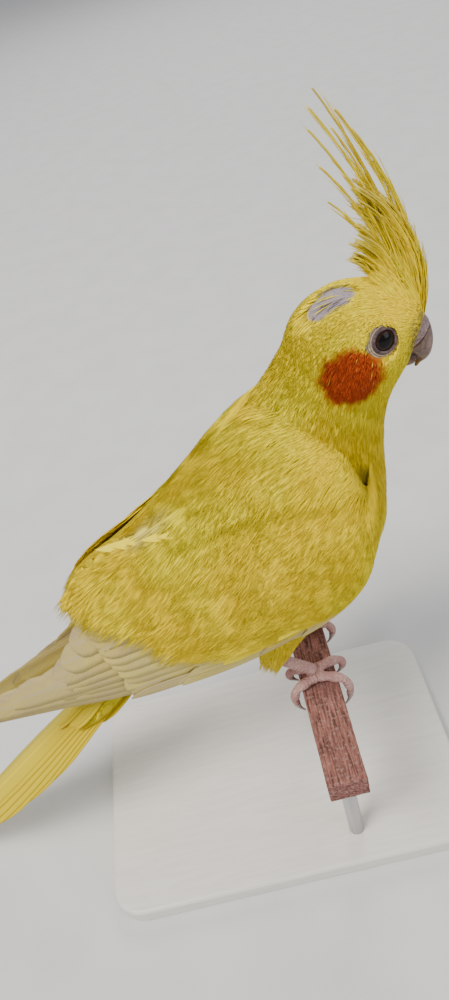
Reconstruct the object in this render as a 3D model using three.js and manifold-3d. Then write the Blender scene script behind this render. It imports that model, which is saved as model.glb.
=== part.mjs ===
// Lutino cockatiel, life size, gripping a short batten on a plain display stand.
// Millimetres: X is the way the bird faces, Y is its left, Z is up.
// The bird is drawn about the middle of the batten's top, then set down with the stand's underside at Z = 0.

import * as THREE from "three";
import { mergeVertices } from "three/addons/utils/BufferGeometryUtils.js";
import Module from "manifold-3d";

const wasm = await Module();
wasm.setup();

// Stand and perch
const perchTop = 80;
const perchForward = 28;
const perchWidth = 14.4;
const perchThick = 10.6;
const perchLength = 112;
const perchChamfer = 0.8;
const baseLength = 156;
const baseWidth = 104;
const baseThick = 8;
const baseCorner = 12;
const baseBevel = 1;
const rodRadius = 3;
const rodSpacing = 76;
const gap = 0.32;

// Body sections from the tail base to the forehead: [forward, up] on the back and on the belly, half width, and
// how much fuller (above 0) or slimmer (below 0) the section is towards the belly
const bodySections = [
  { place: "tail base", back: [-79, 30], belly: [-70, 12], half: 9, full: 0 },
  { place: "rump", back: [-71, 54], belly: [-57, 19], half: 14, full: 0 },
  { place: "loins", back: [-60, 71], belly: [-40, 26.5], half: 18.5, full: 0 },
  { place: "flank", back: [-43, 82.5], belly: [-20, 31.5], half: 21.5, full: -0.05 },
  { place: "ribs", back: [-28.5, 97], belly: [1, 37.5], half: 23.5, full: -0.05 },
  { place: "breast", back: [-15, 110.5], belly: [20, 48], half: 23.5, full: 0 },
  { place: "shoulder", back: [-4.5, 118.3], belly: [33, 62], half: 21.5, full: 0.05 },
  { place: "neck base", back: [1.4, 123], belly: [36, 79], half: 19, full: 0.05 },
  { place: "neck", back: [6, 128.2], belly: [36.8, 97], half: 16.4, full: 0.05 },
  { place: "nape", back: [11.2, 134.8], belly: [38, 107.5], half: 15, full: 0.08 },
  { place: "hind crown", back: [15.2, 142.2], belly: [40.2, 114.5], half: 14.6, full: 0.12 },
  { place: "ear", back: [20.4, 147.1], belly: [42.6, 118.8], half: 14.2, full: 0.14 },
  { place: "crown", back: [28, 150.2], belly: [44.4, 121.6], half: 13.2, full: 0.12 },
  { place: "brow", back: [36, 149.8], belly: [45.8, 123.4], half: 11.6, full: 0.08 },
  { place: "forehead", back: [43.8, 147.2], belly: [46.6, 125.2], half: 9.4, full: 0.04 },
  { place: "lores", back: [50, 142], belly: [47.2, 127.2], half: 6.6, full: 0 },
  { place: "cere", back: [52.2, 136.6], belly: [48.8, 130], half: 3.2, full: 0 },
];
const torsoEnd = 7.2;
const neckEnd = 9.5;
const bodyAround = 24;

// Bill sections: [forward, up] along the ridge and along the cutting edge, and half width
const upperBillSections = [
  { place: "root", back: [49, 137.5], belly: [42, 128.5], half: 4.2, full: 0 },
  { place: "cere", back: [53, 134.2], belly: [44.6, 126.6], half: 4.9, full: 0 },
  { place: "ridge", back: [54.3, 129.6], belly: [46.8, 124.9], half: 4.7, full: 0 },
  { place: "notch", back: [54.2, 125.8], belly: [48.9, 123.4], half: 3.7, full: 0 },
  { place: "hook", back: [53.1, 122.4], belly: [49.4, 121.9], half: 2.3, full: 0 },
  { place: "tip", back: [50.6, 120.2], belly: [49.1, 120.4], half: 0.9, full: 0 },
];
const cereEnd = 1.35;
const lowerBillSections = [
  { place: "root", back: [41.5, 126], belly: [41, 121.5], half: 3.4, full: 0 },
  { place: "cup", back: [45, 125.4], belly: [45, 120.9], half: 3.7, full: 0 },
  { place: "edge", back: [47.6, 123.9], belly: [47.8, 120.9], half: 2.9, full: 0 },
  { place: "lip", back: [48.9, 122.4], belly: [48.9, 121.2], half: 1.4, full: 0 },
];
const billAround = 14;
const nostril = { forward: 53, out: 2.3, up: 131.6, radius: 0.75 };

// Eyes
const eyeRadius = 4.3;
const eyeCentre = { forward: 37.4, out: 8.1, up: 136.3 };
const eyeTurn = { forward: 14, up: 8 };
const lidRadius = 3.15;
const lidThick = 0.75;

// Crest: where its feathers grow from front to rear, the length and backward lean at even steps, and the feathers' size
const crestRoots = { front: [53, 139.5], middle: [50.4, 144.8], rear: [40.5, 148.2] };
const crestCount = 13;
const crestLengths = [33, 47, 57, 52, 40, 27, 17, 12];
const crestLeans = [18, 18.8, 19.6, 22, 26, 32, 40, 45];
const crestBow = 0.115;
const crestHalf = 2.6;
const crestThick = 0.7;
const crestTurn = 35;
const crestSpread = { root: 2.3, tip: 3.1 };
const crestMound = { centre: [46.8, 143.6], long: 9.4, half: 4.2, deep: 3.2, turn: 41 };

// Wing stations from the wrist to the tip: [forward, out, up] on the lower and the upper edge, and outward bulge
const wingStations = [
  { lower: [28, 20, 77], upper: [27, 18, 94], bulge: 2 },
  { lower: [21.5, 23, 63.5], upper: [20, 18.5, 104.5], bulge: 4.5 },
  { lower: [10, 24.2, 53.5], upper: [8, 16.5, 109.5], bulge: 6.5 },
  { lower: [-6, 24.4, 46.5], upper: [-10, 11, 107], bulge: 8 },
  { lower: [-24, 23.8, 40.5], upper: [-28.5, 5.5, 96.5], bulge: 9 },
  { lower: [-45, 21.5, 34.5], upper: [-49, 4, 84.5], bulge: 8 },
  { lower: [-67, 17.5, 27], upper: [-70, 4, 74], bulge: 6 },
  { lower: [-92, 13.5, 23.5], upper: [-90, 6.5, 54], bulge: 2.5 },
  { lower: [-118, 10.5, 20.5], upper: [-113, 7.5, 40], bulge: 1 },
  { lower: [-139, 8.5, 18.5], upper: [-138, 8, 23], bulge: 0 },
];
const wingInner = -2.2;
const wingCoreEnd = 0.62;
const wingRungs = 8;
const wingRows = 6;
const wristPivot = [22, 88];
const farWingDroop = 4.5;

// Wing feathers in tiers. A feather runs from one place along the wing to another; across is its place between the
// wing's lower edge (0) and upper edge (1) at the root and at the tip; rise is its height over the sheet, and tilt
// how much its lower edge stands up over its upper edge
const wingTiers = [
  { kind: "primary", count: 10, root: [0.5, 0.5], half: 6, thick: 0.62, rise: [0.9, 0.9], tilt: 0.7,
    tips: [1, 0.985, 0.93, 0.875, 0.825, 0.785, 0.75, 0.72, 0.695, 0.67], across: [[0, 0.75], [0, 0.95]] },
  { kind: "secondary", count: 8, root: [0.43, 0.45], half: 6, thick: 0.6, rise: [2.5, 3], tilt: 0.45,
    tips: [0.655, 0.66, 0.665, 0.675, 0.69, 0.72, 0.765, 0.75], across: [[0.04, 1], [0.07, 1]] },
  { kind: "greater covert", count: 7, root: [0.33, 0.35], half: 5.4, thick: 0.6, rise: [3.7, 4.5], tilt: 0.45,
    tips: [0.5, 0.515, 0.53, 0.545, 0.56, 0.58, 0.6], across: [[0.02, 1], [0.03, 1]] },
  { kind: "median covert", count: 6, root: [0.2, 0.22], half: 5.8, thick: 0.6, rise: [4.3, 5.5], tilt: 0.45,
    tips: [0.37, 0.38, 0.39, 0.4, 0.415, 0.43], across: [[0.04, 0.98], [0.05, 0.98]] },
  { kind: "alula", count: 2, root: [0.12, 0.15], half: 2.8, thick: 0.6, rise: [3, 4.8], tilt: 0.3,
    tips: [0.3, 0.27], across: [[0, 0.12], [0, 0.14]] },
];
const crossingSliver = 0.12;
const vaneShape = [[0, 0.6], [0.45, 1], [0.85, 0.9], [1, 0.26]];

// Tail: a core at the root, then pairs of feathers from the middle outwards, and the coverts over and under them
const tailRoot = [-72.5, 20.5];
const tailDrop = 39.3;
const tailCore = { from: -8, to: 26, half: [8, 10.5, 12, 12, 10.5], thick: [13, 10.5, 8, 5.5, 2.6] };
const tailLengths = [142, 134, 121, 104, 87, 71];
const tailEdges = [8.2, 12.4, 15.4, 17.2, 17.6, 17];
const tailHalves = [7.2, 6.8, 6.6, 6.2, 5.8, 5.4];
const tailStep = 0.5;
const tailRoof = 0.012;
const tailThick = 0.65;
const tailCovers = [
  { count: 5, from: 2, length: [32, 42], half: 4.8, spread: 7.5, rise: [4.2, 1.6], thick: 0.7 },
  { count: 3, from: 0, length: [28, 36], half: 5.6, spread: 6, rise: [-4.6, -4.9], thick: 0.7 },
];

// Legs: [forward, up], and how far each foot stands out from the middle
const footOut = { left: 15.2, right: 11.6 };
const thighTop = [-3, 44];
const thighOut = 11;
const heel = [-14.5, 18.5];
const thighRadius = { top: 9, heel: 5 };
const footCentre = [-0.6, 4.6];
const tarsusRadius = { heel: 2.2, foot: 2.4 };
const toeRadius = { root: 2.1, end: 1.35 };
const toeClear = 0.35;
const toes = [
  { name: "front_inner", way: 1, rootOut: -1.6, endOut: -5.2, length: 13.5, claw: 5 },
  { name: "front_outer", way: 1, rootOut: 1.6, endOut: 5.6, length: 18, claw: 6 },
  { name: "rear_inner", way: -1, rootOut: -1.6, endOut: -5, length: 12.5, claw: 4.5 },
  { name: "rear_outer", way: -1, rootOut: 1.6, endOut: 5.4, length: 16, claw: 5.5 },
];
const clawRadius = 1.05;

// Number helpers
const degrees = Math.PI / 180;
const mix = (a, b, t) => a + (b - a) * t;

// Value of a smooth curve that passes through every number of the list at 0, 1, 2 and so on
function smooth(list, t) {
  const last = list.length - 1;
  const i = Math.min(Math.max(Math.floor(t), 0), last - 1);
  const f = t - i;
  const before = i > 0 ? list[i - 1] : 2 * list[0] - list[1];
  const after = i + 2 <= last ? list[i + 2] : 2 * list[last] - list[last - 1];
  const [a, b] = [list[i], list[i + 1]];
  if (f < 0 || f > 1) {
    return f < 0 ? a + f * (b - a) : b + (f - 1) * (b - a);
  }
  return 0.5 * (2 * a + (b - before) * f + (2 * before - 5 * a + 4 * b - after) * f * f
    + (3 * a - before - 3 * b + after) * f * f * f);
}

// Closed solids from three.js geometry, joined and cut
function toSolid(geometry) {
  const bare = geometry.clone();
  bare.deleteAttribute("normal");
  bare.deleteAttribute("uv");
  const merged = mergeVertices(bare, 1e-4);
  return new wasm.Manifold(new wasm.Mesh({
    numProp: 3,
    vertProperties: new Float32Array(merged.attributes.position.array),
    triVerts: new Uint32Array(merged.index.array),
  }));
}

function joined(solids) {
  return solids.reduce((whole, piece) => whole.add(piece));
}

function largest(solid) {
  const pieces = solid.decompose();
  return pieces.reduce((best, piece) => (piece.volume() > best.volume() ? piece : best));
}

// Joins feathers to the core they grow from and drops the slivers where they cross
function feathered(pieces) {
  return largest(joined(pieces).subtract(bodyClear)).simplify(crossingSliver);
}

function toGeometry(solid) {
  const mesh = largest(solid).getMesh();
  const geometry = new THREE.BufferGeometry();
  geometry.setAttribute("position", new THREE.BufferAttribute(mesh.vertProperties, 3));
  geometry.setIndex(new THREE.BufferAttribute(mesh.triVerts, 1));
  geometry.computeVertexNormals();
  return geometry;
}

// Turns a geometry's faces over where they point inwards
function outward(geometry) {
  const place = geometry.attributes.position;
  const index = geometry.index.array;
  const corner = (i) => new THREE.Vector3().fromBufferAttribute(place, index[i]);
  let volume = 0;
  for (let i = 0; i < index.length; i += 3) {
    volume += corner(i).dot(corner(i + 1).cross(corner(i + 2)));
  }
  if (volume < 0) {
    for (let i = 0; i < index.length; i += 3) {
      [index[i], index[i + 1]] = [index[i + 1], index[i]];
    }
  }
  return geometry;
}

// A sphere geometry stretched over rings: each ring is a function of the angle round it
function ringed(rings, around) {
  const geometry = new THREE.SphereGeometry(1, around, rings.length - 1);
  const place = geometry.attributes.position;
  const uv = geometry.attributes.uv;
  for (let i = 0; i < place.count; i += 1) {
    const ring = rings[Math.round((1 - uv.getY(i)) * (rings.length - 1))];
    const turn = (Math.round(uv.getX(i) * around) % around) / around;
    place.setXYZ(i, ...ring(turn * 2 * Math.PI).toArray());
  }
  return outward(geometry);
}

// One point of a body or bill section: angle 0 is the back, a half turn is the belly
function sectionPoint(sections, t, angle, scale = 1, grow = 0) {
  const value = (pick) => smooth(sections.map(pick), t);
  const back = new THREE.Vector3(value((s) => s.back[0]), 0, value((s) => s.back[1]));
  const belly = new THREE.Vector3(value((s) => s.belly[0]), 0, value((s) => s.belly[1]));
  const half = value((s) => s.half) + grow;
  const rise = back.clone().sub(belly).multiplyScalar(0.5);
  const middle = back.clone().add(belly).multiplyScalar(0.5);
  rise.setLength(rise.length() + grow);
  const fuller = 1 - value((s) => s.full) * Math.cos(angle);
  middle.addScaledVector(rise, Math.cos(angle) * scale);
  middle.y += half * Math.sin(angle) * scale * fuller;
  return middle;
}

// A stretch of a body or bill, flat at a cut end and rounded where it runs past the last section
function stretch(sections, from, to, steps, around, grow = 0) {
  const last = sections.length - 1;
  const rings = [];
  const ring = (t, scale) => rings.push((angle) => sectionPoint(sections, t, angle, scale, grow));
  ring(from, 0);
  for (let i = 0; i <= steps; i += 1) {
    ring(mix(from, to, i / steps), 1);
  }
  if (to >= last) {
    ring(last + 0.18, 0.8);
    ring(last + 0.3, 0.5);
    ring(last + 0.36, 0);
  } else {
    ring(to, 0);
  }
  return ringed(rings, around);
}

// The step past section t that keeps the gap between two cut ends
function gapStep(sections, t) {
  const back = sectionPoint(sections, t, 0).distanceTo(sectionPoint(sections, t + 0.1, 0));
  const belly = sectionPoint(sections, t, Math.PI).distanceTo(sectionPoint(sections, t + 0.1, Math.PI));
  return (0.1 * gap) / Math.min(back, belly);
}

// A closed plate of rungs, split into triangles alike on both faces
function plate(rungs) {
  const across = rungs[0].over.length;
  const points = [...rungs.flatMap((rung) => rung.over), ...rungs.flatMap((rung) => rung.under)];
  const under = rungs.length * across;
  const at = (i, j) => i * across + j;
  const index = [];
  const quad = (a, b, c, d) => index.push(a, b, c, a, c, d);
  for (let i = 0; i < rungs.length - 1; i += 1) {
    for (let j = 0; j < across - 1; j += 1) {
      const [a, b, c, d] = [at(i, j), at(i, j + 1), at(i + 1, j + 1), at(i + 1, j)];
      index.push(a, b, c, a, c, d);
      index.push(under + c, under + b, under + a, under + d, under + c, under + a);
    }
    quad(at(i, 0), at(i + 1, 0), under + at(i + 1, 0), under + at(i, 0));
    const j = across - 1;
    quad(under + at(i, j), under + at(i + 1, j), at(i + 1, j), at(i, j));
  }
  const end = rungs.length - 1;
  for (let j = 0; j < across - 1; j += 1) {
    quad(at(0, j + 1), at(0, j), under + at(0, j), under + at(0, j + 1));
    quad(at(end, j), at(end, j + 1), under + at(end, j + 1), under + at(end, j));
  }
  const geometry = new THREE.BufferGeometry().setFromPoints(points);
  geometry.setIndex(index);
  return outward(geometry);
}

// A limb of round sections: a curve, and its radius at each place along it
function limb(curve, radius, steps, around) {
  const rings = [];
  for (let i = 0; i <= steps; i += 1) {
    const t = i / steps;
    const at = curve.getPoint(t);
    const along = curve.getTangent(t);
    const side = new THREE.Vector3(0, 1, 0).addScaledVector(along, -along.y).normalize();
    const over = new THREE.Vector3().crossVectors(along, side);
    const ring = (scale) => (angle) => at.clone()
      .addScaledVector(side, Math.cos(angle) * radius(t) * scale)
      .addScaledVector(over, Math.sin(angle) * radius(t) * scale);
    if (i === 0) {
      rings.push(ring(0));
    }
    rings.push(ring(1));
    if (i === steps) {
      rings.push(ring(0));
    }
  }
  return ringed(rings, around);
}

// The whole feathered body a little enlarged, which the nodes that lie on it are cut clear of
const bodyClear = toSolid(stretch(bodySections, 0, bodySections.length - 1, 34, bodyAround, gap));

// Torso and neck
function makeTorso() {
  return toSolid(stretch(bodySections, 0, torsoEnd, 16, bodyAround));
}

function makeNeck() {
  const from = torsoEnd + gapStep(bodySections, torsoEnd);
  return toSolid(stretch(bodySections, from, neckEnd, 5, bodyAround));
}

// Eyes, and the lids that stand round them
function eyeBall(side, radius) {
  const ball = new THREE.SphereGeometry(radius, 16, 10);
  ball.rotateX(Math.PI / 2);
  ball.translate(eyeCentre.forward, side * eyeCentre.out, eyeCentre.up);
  return toSolid(ball);
}

function eyeLid(side) {
  const ring = new THREE.TorusGeometry(lidRadius, lidThick, 7, 18);
  ring.rotateX(Math.PI / 2);
  ring.translate(0, Math.sqrt(eyeRadius ** 2 - lidRadius ** 2) - 0.1, 0);
  ring.rotateZ(-eyeTurn.forward * degrees);
  ring.rotateX(eyeTurn.up * degrees);
  if (side < 0) {
    ring.scale(1, -1, 1);
  }
  ring.translate(eyeCentre.forward, side * eyeCentre.out, eyeCentre.up);
  return toSolid(outward(ring));
}

// A closed feather: at each place along it, the middle, the way across and the way its face looks
function vane(frameAt, half, thick) {
  return toSolid(plate(vaneShape.map(([s, share]) => {
    const { middle, across, face } = frameAt(s);
    const corner = (way, lift) => middle.clone().addScaledVector(across, way * half * share).addScaledVector(face, lift);
    const lift = thick / 2;
    return { over: [corner(-1, lift), corner(1, lift)], under: [corner(-1, -lift), corner(1, -lift)] };
  })));
}

// Crest feathers, rooted in a low mound on the forehead
function crestFeather(i) {
  const f = i / (crestCount - 1);
  const along = f * (crestLengths.length - 1);
  const rootLine = new THREE.QuadraticBezierCurve(
    new THREE.Vector2(...crestRoots.front),
    new THREE.Vector2(...crestRoots.middle),
    new THREE.Vector2(...crestRoots.rear),
  );
  const root = rootLine.getPoint(f);
  const length = smooth(crestLengths, along) + 3;
  const lean = smooth(crestLeans, along) * degrees;
  const way = [0, 1, -1, 0.5, -0.5][i % 5];
  const start = new THREE.Vector3(root.x, way * crestSpread.root, root.y - 2);
  const rise = new THREE.Vector3(-Math.sin(lean), 0, Math.cos(lean));
  const ahead = new THREE.Vector3(Math.cos(lean), 0, Math.sin(lean));
  const end = start.clone().addScaledVector(rise, length);
  end.y = way * crestSpread.tip;
  const bend = start.clone().lerp(end, 0.5).addScaledVector(ahead, length * crestBow * 2);
  const curve = new THREE.QuadraticBezierCurve3(start, bend, end);
  const turn = way * crestTurn * degrees;
  return vane((s) => {
    const along3 = curve.getTangent(s);
    const flat = new THREE.Vector3(0, Math.cos(turn), 0).addScaledVector(ahead, Math.sin(turn));
    const across = flat.addScaledVector(along3, -flat.dot(along3)).normalize();
    return { middle: curve.getPoint(s), across, face: new THREE.Vector3().crossVectors(along3, across) };
  }, crestHalf * mix(0.75, 1, Math.min(1, length / 40)), crestThick);
}

function makeCrest() {
  const mound = new THREE.SphereGeometry(1, 14, 10);
  mound.scale(crestMound.long, crestMound.half, crestMound.deep);
  mound.rotateY(crestMound.turn * degrees);
  mound.translate(crestMound.centre[0], 0, crestMound.centre[1]);
  const feathers = Array.from({ length: crestCount }, (_, i) => crestFeather(i));
  return feathered([toSolid(mound), ...feathers]);
}

function makeHead() {
  const from = neckEnd + gapStep(bodySections, neckEnd);
  const skull = toSolid(stretch(bodySections, from, bodySections.length - 1, 14, bodyAround));
  let head = joined([skull, eyeLid(1), eyeLid(-1)]);
  for (const side of [1, -1]) {
    head = head.subtract(eyeBall(side, eyeRadius + gap));
  }
  return head;
}

// Bill: the fleshy cere with its nostrils, the hooked upper half and the cup of the lower half
function makeCere() {
  let cere = toSolid(stretch(upperBillSections, 0, cereEnd, 4, billAround)).subtract(bodyClear);
  for (const side of [1, -1]) {
    const pit = new THREE.SphereGeometry(nostril.radius, 10, 8);
    pit.translate(nostril.forward, side * nostril.out, nostril.up);
    cere = cere.subtract(toSolid(pit));
  }
  return cere;
}

function makeUpperBill() {
  const from = cereEnd + gapStep(upperBillSections, cereEnd);
  return toSolid(stretch(upperBillSections, from, 5, 10, billAround)).subtract(bodyClear);
}

function makeLowerBill() {
  const upperClear = toSolid(stretch(upperBillSections, 0, 5, 12, billAround, gap));
  return toSolid(stretch(lowerBillSections, 0, 3, 6, billAround)).subtract(bodyClear).subtract(upperClear);
}

// A point of the folded wing's sheet: u from wrist to tip, v from lower to upper edge, h outwards
function wingPoint(side, u, v, h) {
  const s = u * (wingStations.length - 1);
  const edge = (name, k) => smooth(wingStations.map((station) => station[name][k]), s);
  const flat = (vv, k) => mix(edge("lower", k), edge("upper", k), vv);
  const bulge = smooth(wingStations.map((station) => station.bulge), s);
  const at = (vv) => new THREE.Vector3(flat(vv, 0), flat(vv, 1) + bulge * 4 * vv * (1 - vv), flat(vv, 2));
  const step = at(v + 0.02).sub(at(v - 0.02)).normalize();
  const point = at(v);
  point.y += h * step.z;
  point.z -= h * step.y;
  const droop = side > 0 ? farWingDroop * degrees * u : 0;
  const arm = new THREE.Vector2(point.x - wristPivot[0], point.z - wristPivot[1]);
  arm.rotateAround(new THREE.Vector2(), droop);
  return new THREE.Vector3(wristPivot[0] + arm.x, side * point.y, wristPivot[1] + arm.y);
}

// The wing's core, full over the arm and thin where the flight feathers leave it
function wingCore(side) {
  const rows = Array.from({ length: wingRows + 1 }, (_, j) => j / wingRows);
  const rungs = [];
  for (let i = 0; i <= wingRungs; i += 1) {
    const u = (wingCoreEnd * i) / wingRungs;
    const full = smooth([1.5, 4.2, 5, 4.9, 4.4, 3.6, 2.7, 2], u * (wingStations.length - 1));
    const thick = (v) => full * (0.55 + 0.45 * Math.sqrt(Math.max(0, 1 - (2 * v - 1) ** 4)));
    rungs.push({
      over: rows.map((v) => wingPoint(side, u, v, thick(v))),
      under: rows.map((v) => wingPoint(side, u, v, wingInner)),
    });
  }
  return toSolid(plate(rungs));
}

// One feather laid on the wing's sheet, never wider than the sheet itself
function wingFeather(side, tier, i) {
  const f = i / (tier.count - 1);
  const rungs = vaneShape.map(([s, share]) => {
    const u = mix(mix(tier.root[0], tier.root[1], f), tier.tips[i], s);
    const span = 5 * wingPoint(side, u, 0.4, 0).distanceTo(wingPoint(side, u, 0.6, 0));
    const w = Math.min((tier.half * share) / span, 0.5 * (0.35 + 0.65 * share));
    const place = mix(mix(...tier.across[0], f), mix(...tier.across[1], f), s);
    const v = mix(w, 1 - w, place);
    const h = mix(...tier.rise, s);
    const corner = (way, lift) => wingPoint(side, u, v + way * w, h - way * tier.tilt + lift);
    const lift = tier.thick / 2;
    return { over: [corner(-1, lift), corner(1, lift)], under: [corner(-1, -lift), corner(1, -lift)] };
  });
  return toSolid(plate(rungs));
}

function makeWing(side) {
  const pieces = [wingCore(side)];
  for (const tier of wingTiers) {
    for (let i = 0; i < tier.count; i += 1) {
      pieces.push(wingFeather(side, tier, i));
    }
  }
  return feathered(pieces);
}

// A point of the tail: along it from the root, out to a side, and over its roof-shaped sheet
const tailAlong = new THREE.Vector3(-Math.cos(tailDrop * degrees), 0, -Math.sin(tailDrop * degrees));
const tailOver = new THREE.Vector3(-Math.sin(tailDrop * degrees), 0, Math.cos(tailDrop * degrees));

function tailPoint(along, out, level) {
  return new THREE.Vector3(tailRoot[0], out, tailRoot[1])
    .addScaledVector(tailAlong, along)
    .addScaledVector(tailOver, level - tailRoof * out * out);
}

function tailFeather(from, length, rootOut, tipOut, half, rise, thick) {
  return toSolid(plate(vaneShape.map(([s, share]) => {
    const out = mix(rootOut, tipOut, s);
    const level = mix(rise[0], rise[1], s);
    const corner = (way, lift) => tailPoint(mix(from, length, s), out + way * half * share, level + lift);
    return {
      over: [corner(-1, thick / 2), corner(1, thick / 2)],
      under: [corner(-1, -thick / 2), corner(1, -thick / 2)],
    };
  })));
}

function makeTail() {
  const rings = [];
  const steps = 6;
  for (let i = 0; i <= steps; i += 1) {
    const t = i / steps;
    const half = smooth(tailCore.half, t * 4);
    const thick = smooth(tailCore.thick, t * 4) / 2;
    const ring = (scale) => (angle) => tailPoint(
      mix(tailCore.from, tailCore.to, t),
      Math.sin(angle) * half * scale,
      Math.cos(angle) * thick * scale,
    );
    if (i === 0) {
      rings.push(ring(0));
    }
    rings.push(ring(1));
    if (i === steps) {
      rings.push(ring(0));
    }
  }
  const pieces = [toSolid(ringed(rings, 16))];
  tailLengths.forEach((length, pair) => {
    for (const side of [1, -1]) {
      const half = tailHalves[pair];
      const out = side * (tailEdges[pair] - half);
      const level = -tailStep * (pair + (side < 0 ? 0.5 : 0));
      pieces.push(tailFeather(2 + pair, length, side * (1.2 + pair), out, half, [level, level], tailThick));
    }
  });
  for (const cover of tailCovers) {
    for (let i = 0; i < cover.count; i += 1) {
      const way = i / (cover.count - 1) * 2 - 1;
      const length = mix(cover.length[1], cover.length[0], Math.abs(way));
      const out = way * cover.spread;
      const rise = cover.rise.map((level) => level - 0.35 * Math.abs(way) * Math.sign(level));
      pieces.push(tailFeather(cover.from, length, out * 0.7, out, cover.half, rise, cover.thick));
    }
  }
  return feathered(pieces);
}

// Legs: a feathered thigh, then the scaly tarsus and four toes, two forward and two back
const outOf = (side) => (side > 0 ? footOut.left : footOut.right);
const sided = (side, [forward, up]) => new THREE.Vector3(forward, side * outOf(side), up);

function makeThigh(side, grow = 0) {
  const hip = new THREE.Vector3(thighTop[0], side * thighOut, thighTop[1]);
  const line = new THREE.LineCurve3(hip, sided(side, heel));
  const radius = (t) => mix(thighRadius.top, thighRadius.heel, t ** 0.8) + grow;
  return toSolid(limb(line, radius, 5, 14));
}

// The path of one toe: out along the batten's top and round its edge
function toePath(side, toe) {
  const reach = perchWidth / 2 + toeRadius.end + toeClear + 0.9;
  const over = toeRadius.root + toeClear;
  const out = (f) => side * (outOf(side) + mix(toe.rootOut, toe.endOut, f));
  const drop = toe.length - perchWidth / 2 - 2;
  return new THREE.CatmullRomCurve3([
    new THREE.Vector3(footCentre[0], out(0), over + 0.3),
    new THREE.Vector3(toe.way * reach * 0.5, out(0.45), over + 0.5),
    new THREE.Vector3(toe.way * reach * 0.92, out(0.8), over - 0.9),
    new THREE.Vector3(toe.way * (reach + 0.9), out(0.95), -drop * 0.4),
    new THREE.Vector3(toe.way * (reach + 0.5), out(1), -drop * 0.8),
  ]);
}

function makeFoot(side) {
  const ankle = sided(side, heel);
  const foot = sided(side, footCentre);
  const bones = new THREE.LineCurve3(ankle, foot);
  const tarsus = limb(bones, (t) => mix(tarsusRadius.heel, tarsusRadius.foot, t), 2, 10);
  const pad = new THREE.SphereGeometry(1, 10, 7);
  pad.scale(3.4, 3.8, 2.2);
  pad.translate(foot.x, foot.y, toeClear + 2.2);
  const pieces = [toSolid(tarsus), toSolid(pad)];
  for (const toe of toes) {
    const knuckle = (t) => mix(toeRadius.root, toeRadius.end, t) * (1 + 0.08 * Math.cos(t * 6 * Math.PI));
    pieces.push(toSolid(limb(toePath(side, toe), knuckle, 7, 7)));
  }
  return joined(pieces).subtract(makeThigh(side, gap));
}

// A claw goes on from the toe's end, hooked in under the batten's edge
function makeClaw(side, toe) {
  const path = toePath(side, toe);
  const end = path.getPoint(1);
  const along = path.getTangent(1);
  const start = end.clone().addScaledVector(along, gap);
  const inward = new THREE.Vector3(-toe.way, 0, 0);
  const middle = start.clone().addScaledVector(along, toe.claw * 0.55);
  const tip = middle.clone().addScaledVector(along, toe.claw * 0.35).addScaledVector(inward, toe.claw * 0.33);
  const curve = new THREE.QuadraticBezierCurve3(start, middle, tip);
  return toSolid(limb(curve, (t) => mix(clawRadius, 0.18, t), 5, 8));
}

// Perch and stand
function makePerch() {
  const [x, z, c] = [perchWidth / 2, perchThick, perchChamfer];
  const section = new THREE.Shape();
  section.moveTo(-x + c, 0);
  section.lineTo(x - c, 0);
  section.lineTo(x, c);
  section.lineTo(x, z - c);
  section.lineTo(x - c, z);
  section.lineTo(-x + c, z);
  section.lineTo(-x, z - c);
  section.lineTo(-x, c);
  const bar = new THREE.ExtrudeGeometry(section, { depth: perchLength, bevelEnabled: false });
  bar.rotateX(Math.PI / 2);
  bar.translate(0, perchLength / 2, -perchThick);
  return toSolid(bar);
}

function makeBase() {
  const [x, y, r] = [baseLength / 2 - baseBevel, baseWidth / 2 - baseBevel, baseCorner];
  const outline = new THREE.Shape();
  outline.moveTo(-x + r, -y);
  outline.lineTo(x - r, -y);
  outline.absarc(x - r, -y + r, r, -Math.PI / 2, 0);
  outline.absarc(x - r, y - r, r, 0, Math.PI / 2);
  outline.absarc(-x + r, y - r, r, Math.PI / 2, Math.PI);
  outline.absarc(-x + r, -y + r, r, Math.PI, 1.5 * Math.PI);
  const bevel = { bevelThickness: baseBevel, bevelSize: baseBevel, bevelSegments: 1 };
  const plateShape = new THREE.ExtrudeGeometry(outline, {
    depth: baseThick - 2 * baseBevel, curveSegments: 4, ...bevel,
  });
  plateShape.translate(-perchForward, 0, baseBevel - perchTop);
  return toSolid(plateShape);
}

function makeRod(way) {
  const foot = baseThick - perchTop + gap;
  const head = -perchThick - gap;
  const rod = new THREE.CylinderGeometry(rodRadius, rodRadius, head - foot, 20);
  rod.rotateX(Math.PI / 2);
  rod.translate(0, (way * rodSpacing) / 2, (head + foot) / 2);
  return toSolid(rod);
}

// Materials
const finish = (color, roughness, metalness = 0) => new THREE.MeshStandardMaterial({ color, roughness, metalness });
const yellow = finish(0xe2c92a, 0.85);
const cream = finish(0xe9e2b4, 0.8);
const horn = finish(0x8a7468, 0.45);
const skin = finish(0xa9878a, 0.6);
const scales = finish(0xb08a82, 0.6);
const eyeDark = finish(0x1a1010, 0.08);
const wood = finish(0x5a3226, 0.9);
const baseWood = finish(0xd9d4c8, 0.6);
const steel = finish(0xb8b8bc, 0.35, 1);

const model = new THREE.Group();
model.position.set(perchForward, 0, perchTop);

function place(name, solid, material) {
  const mesh = new THREE.Mesh(toGeometry(solid), material);
  mesh.name = name;
  model.add(mesh);
}

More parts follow.
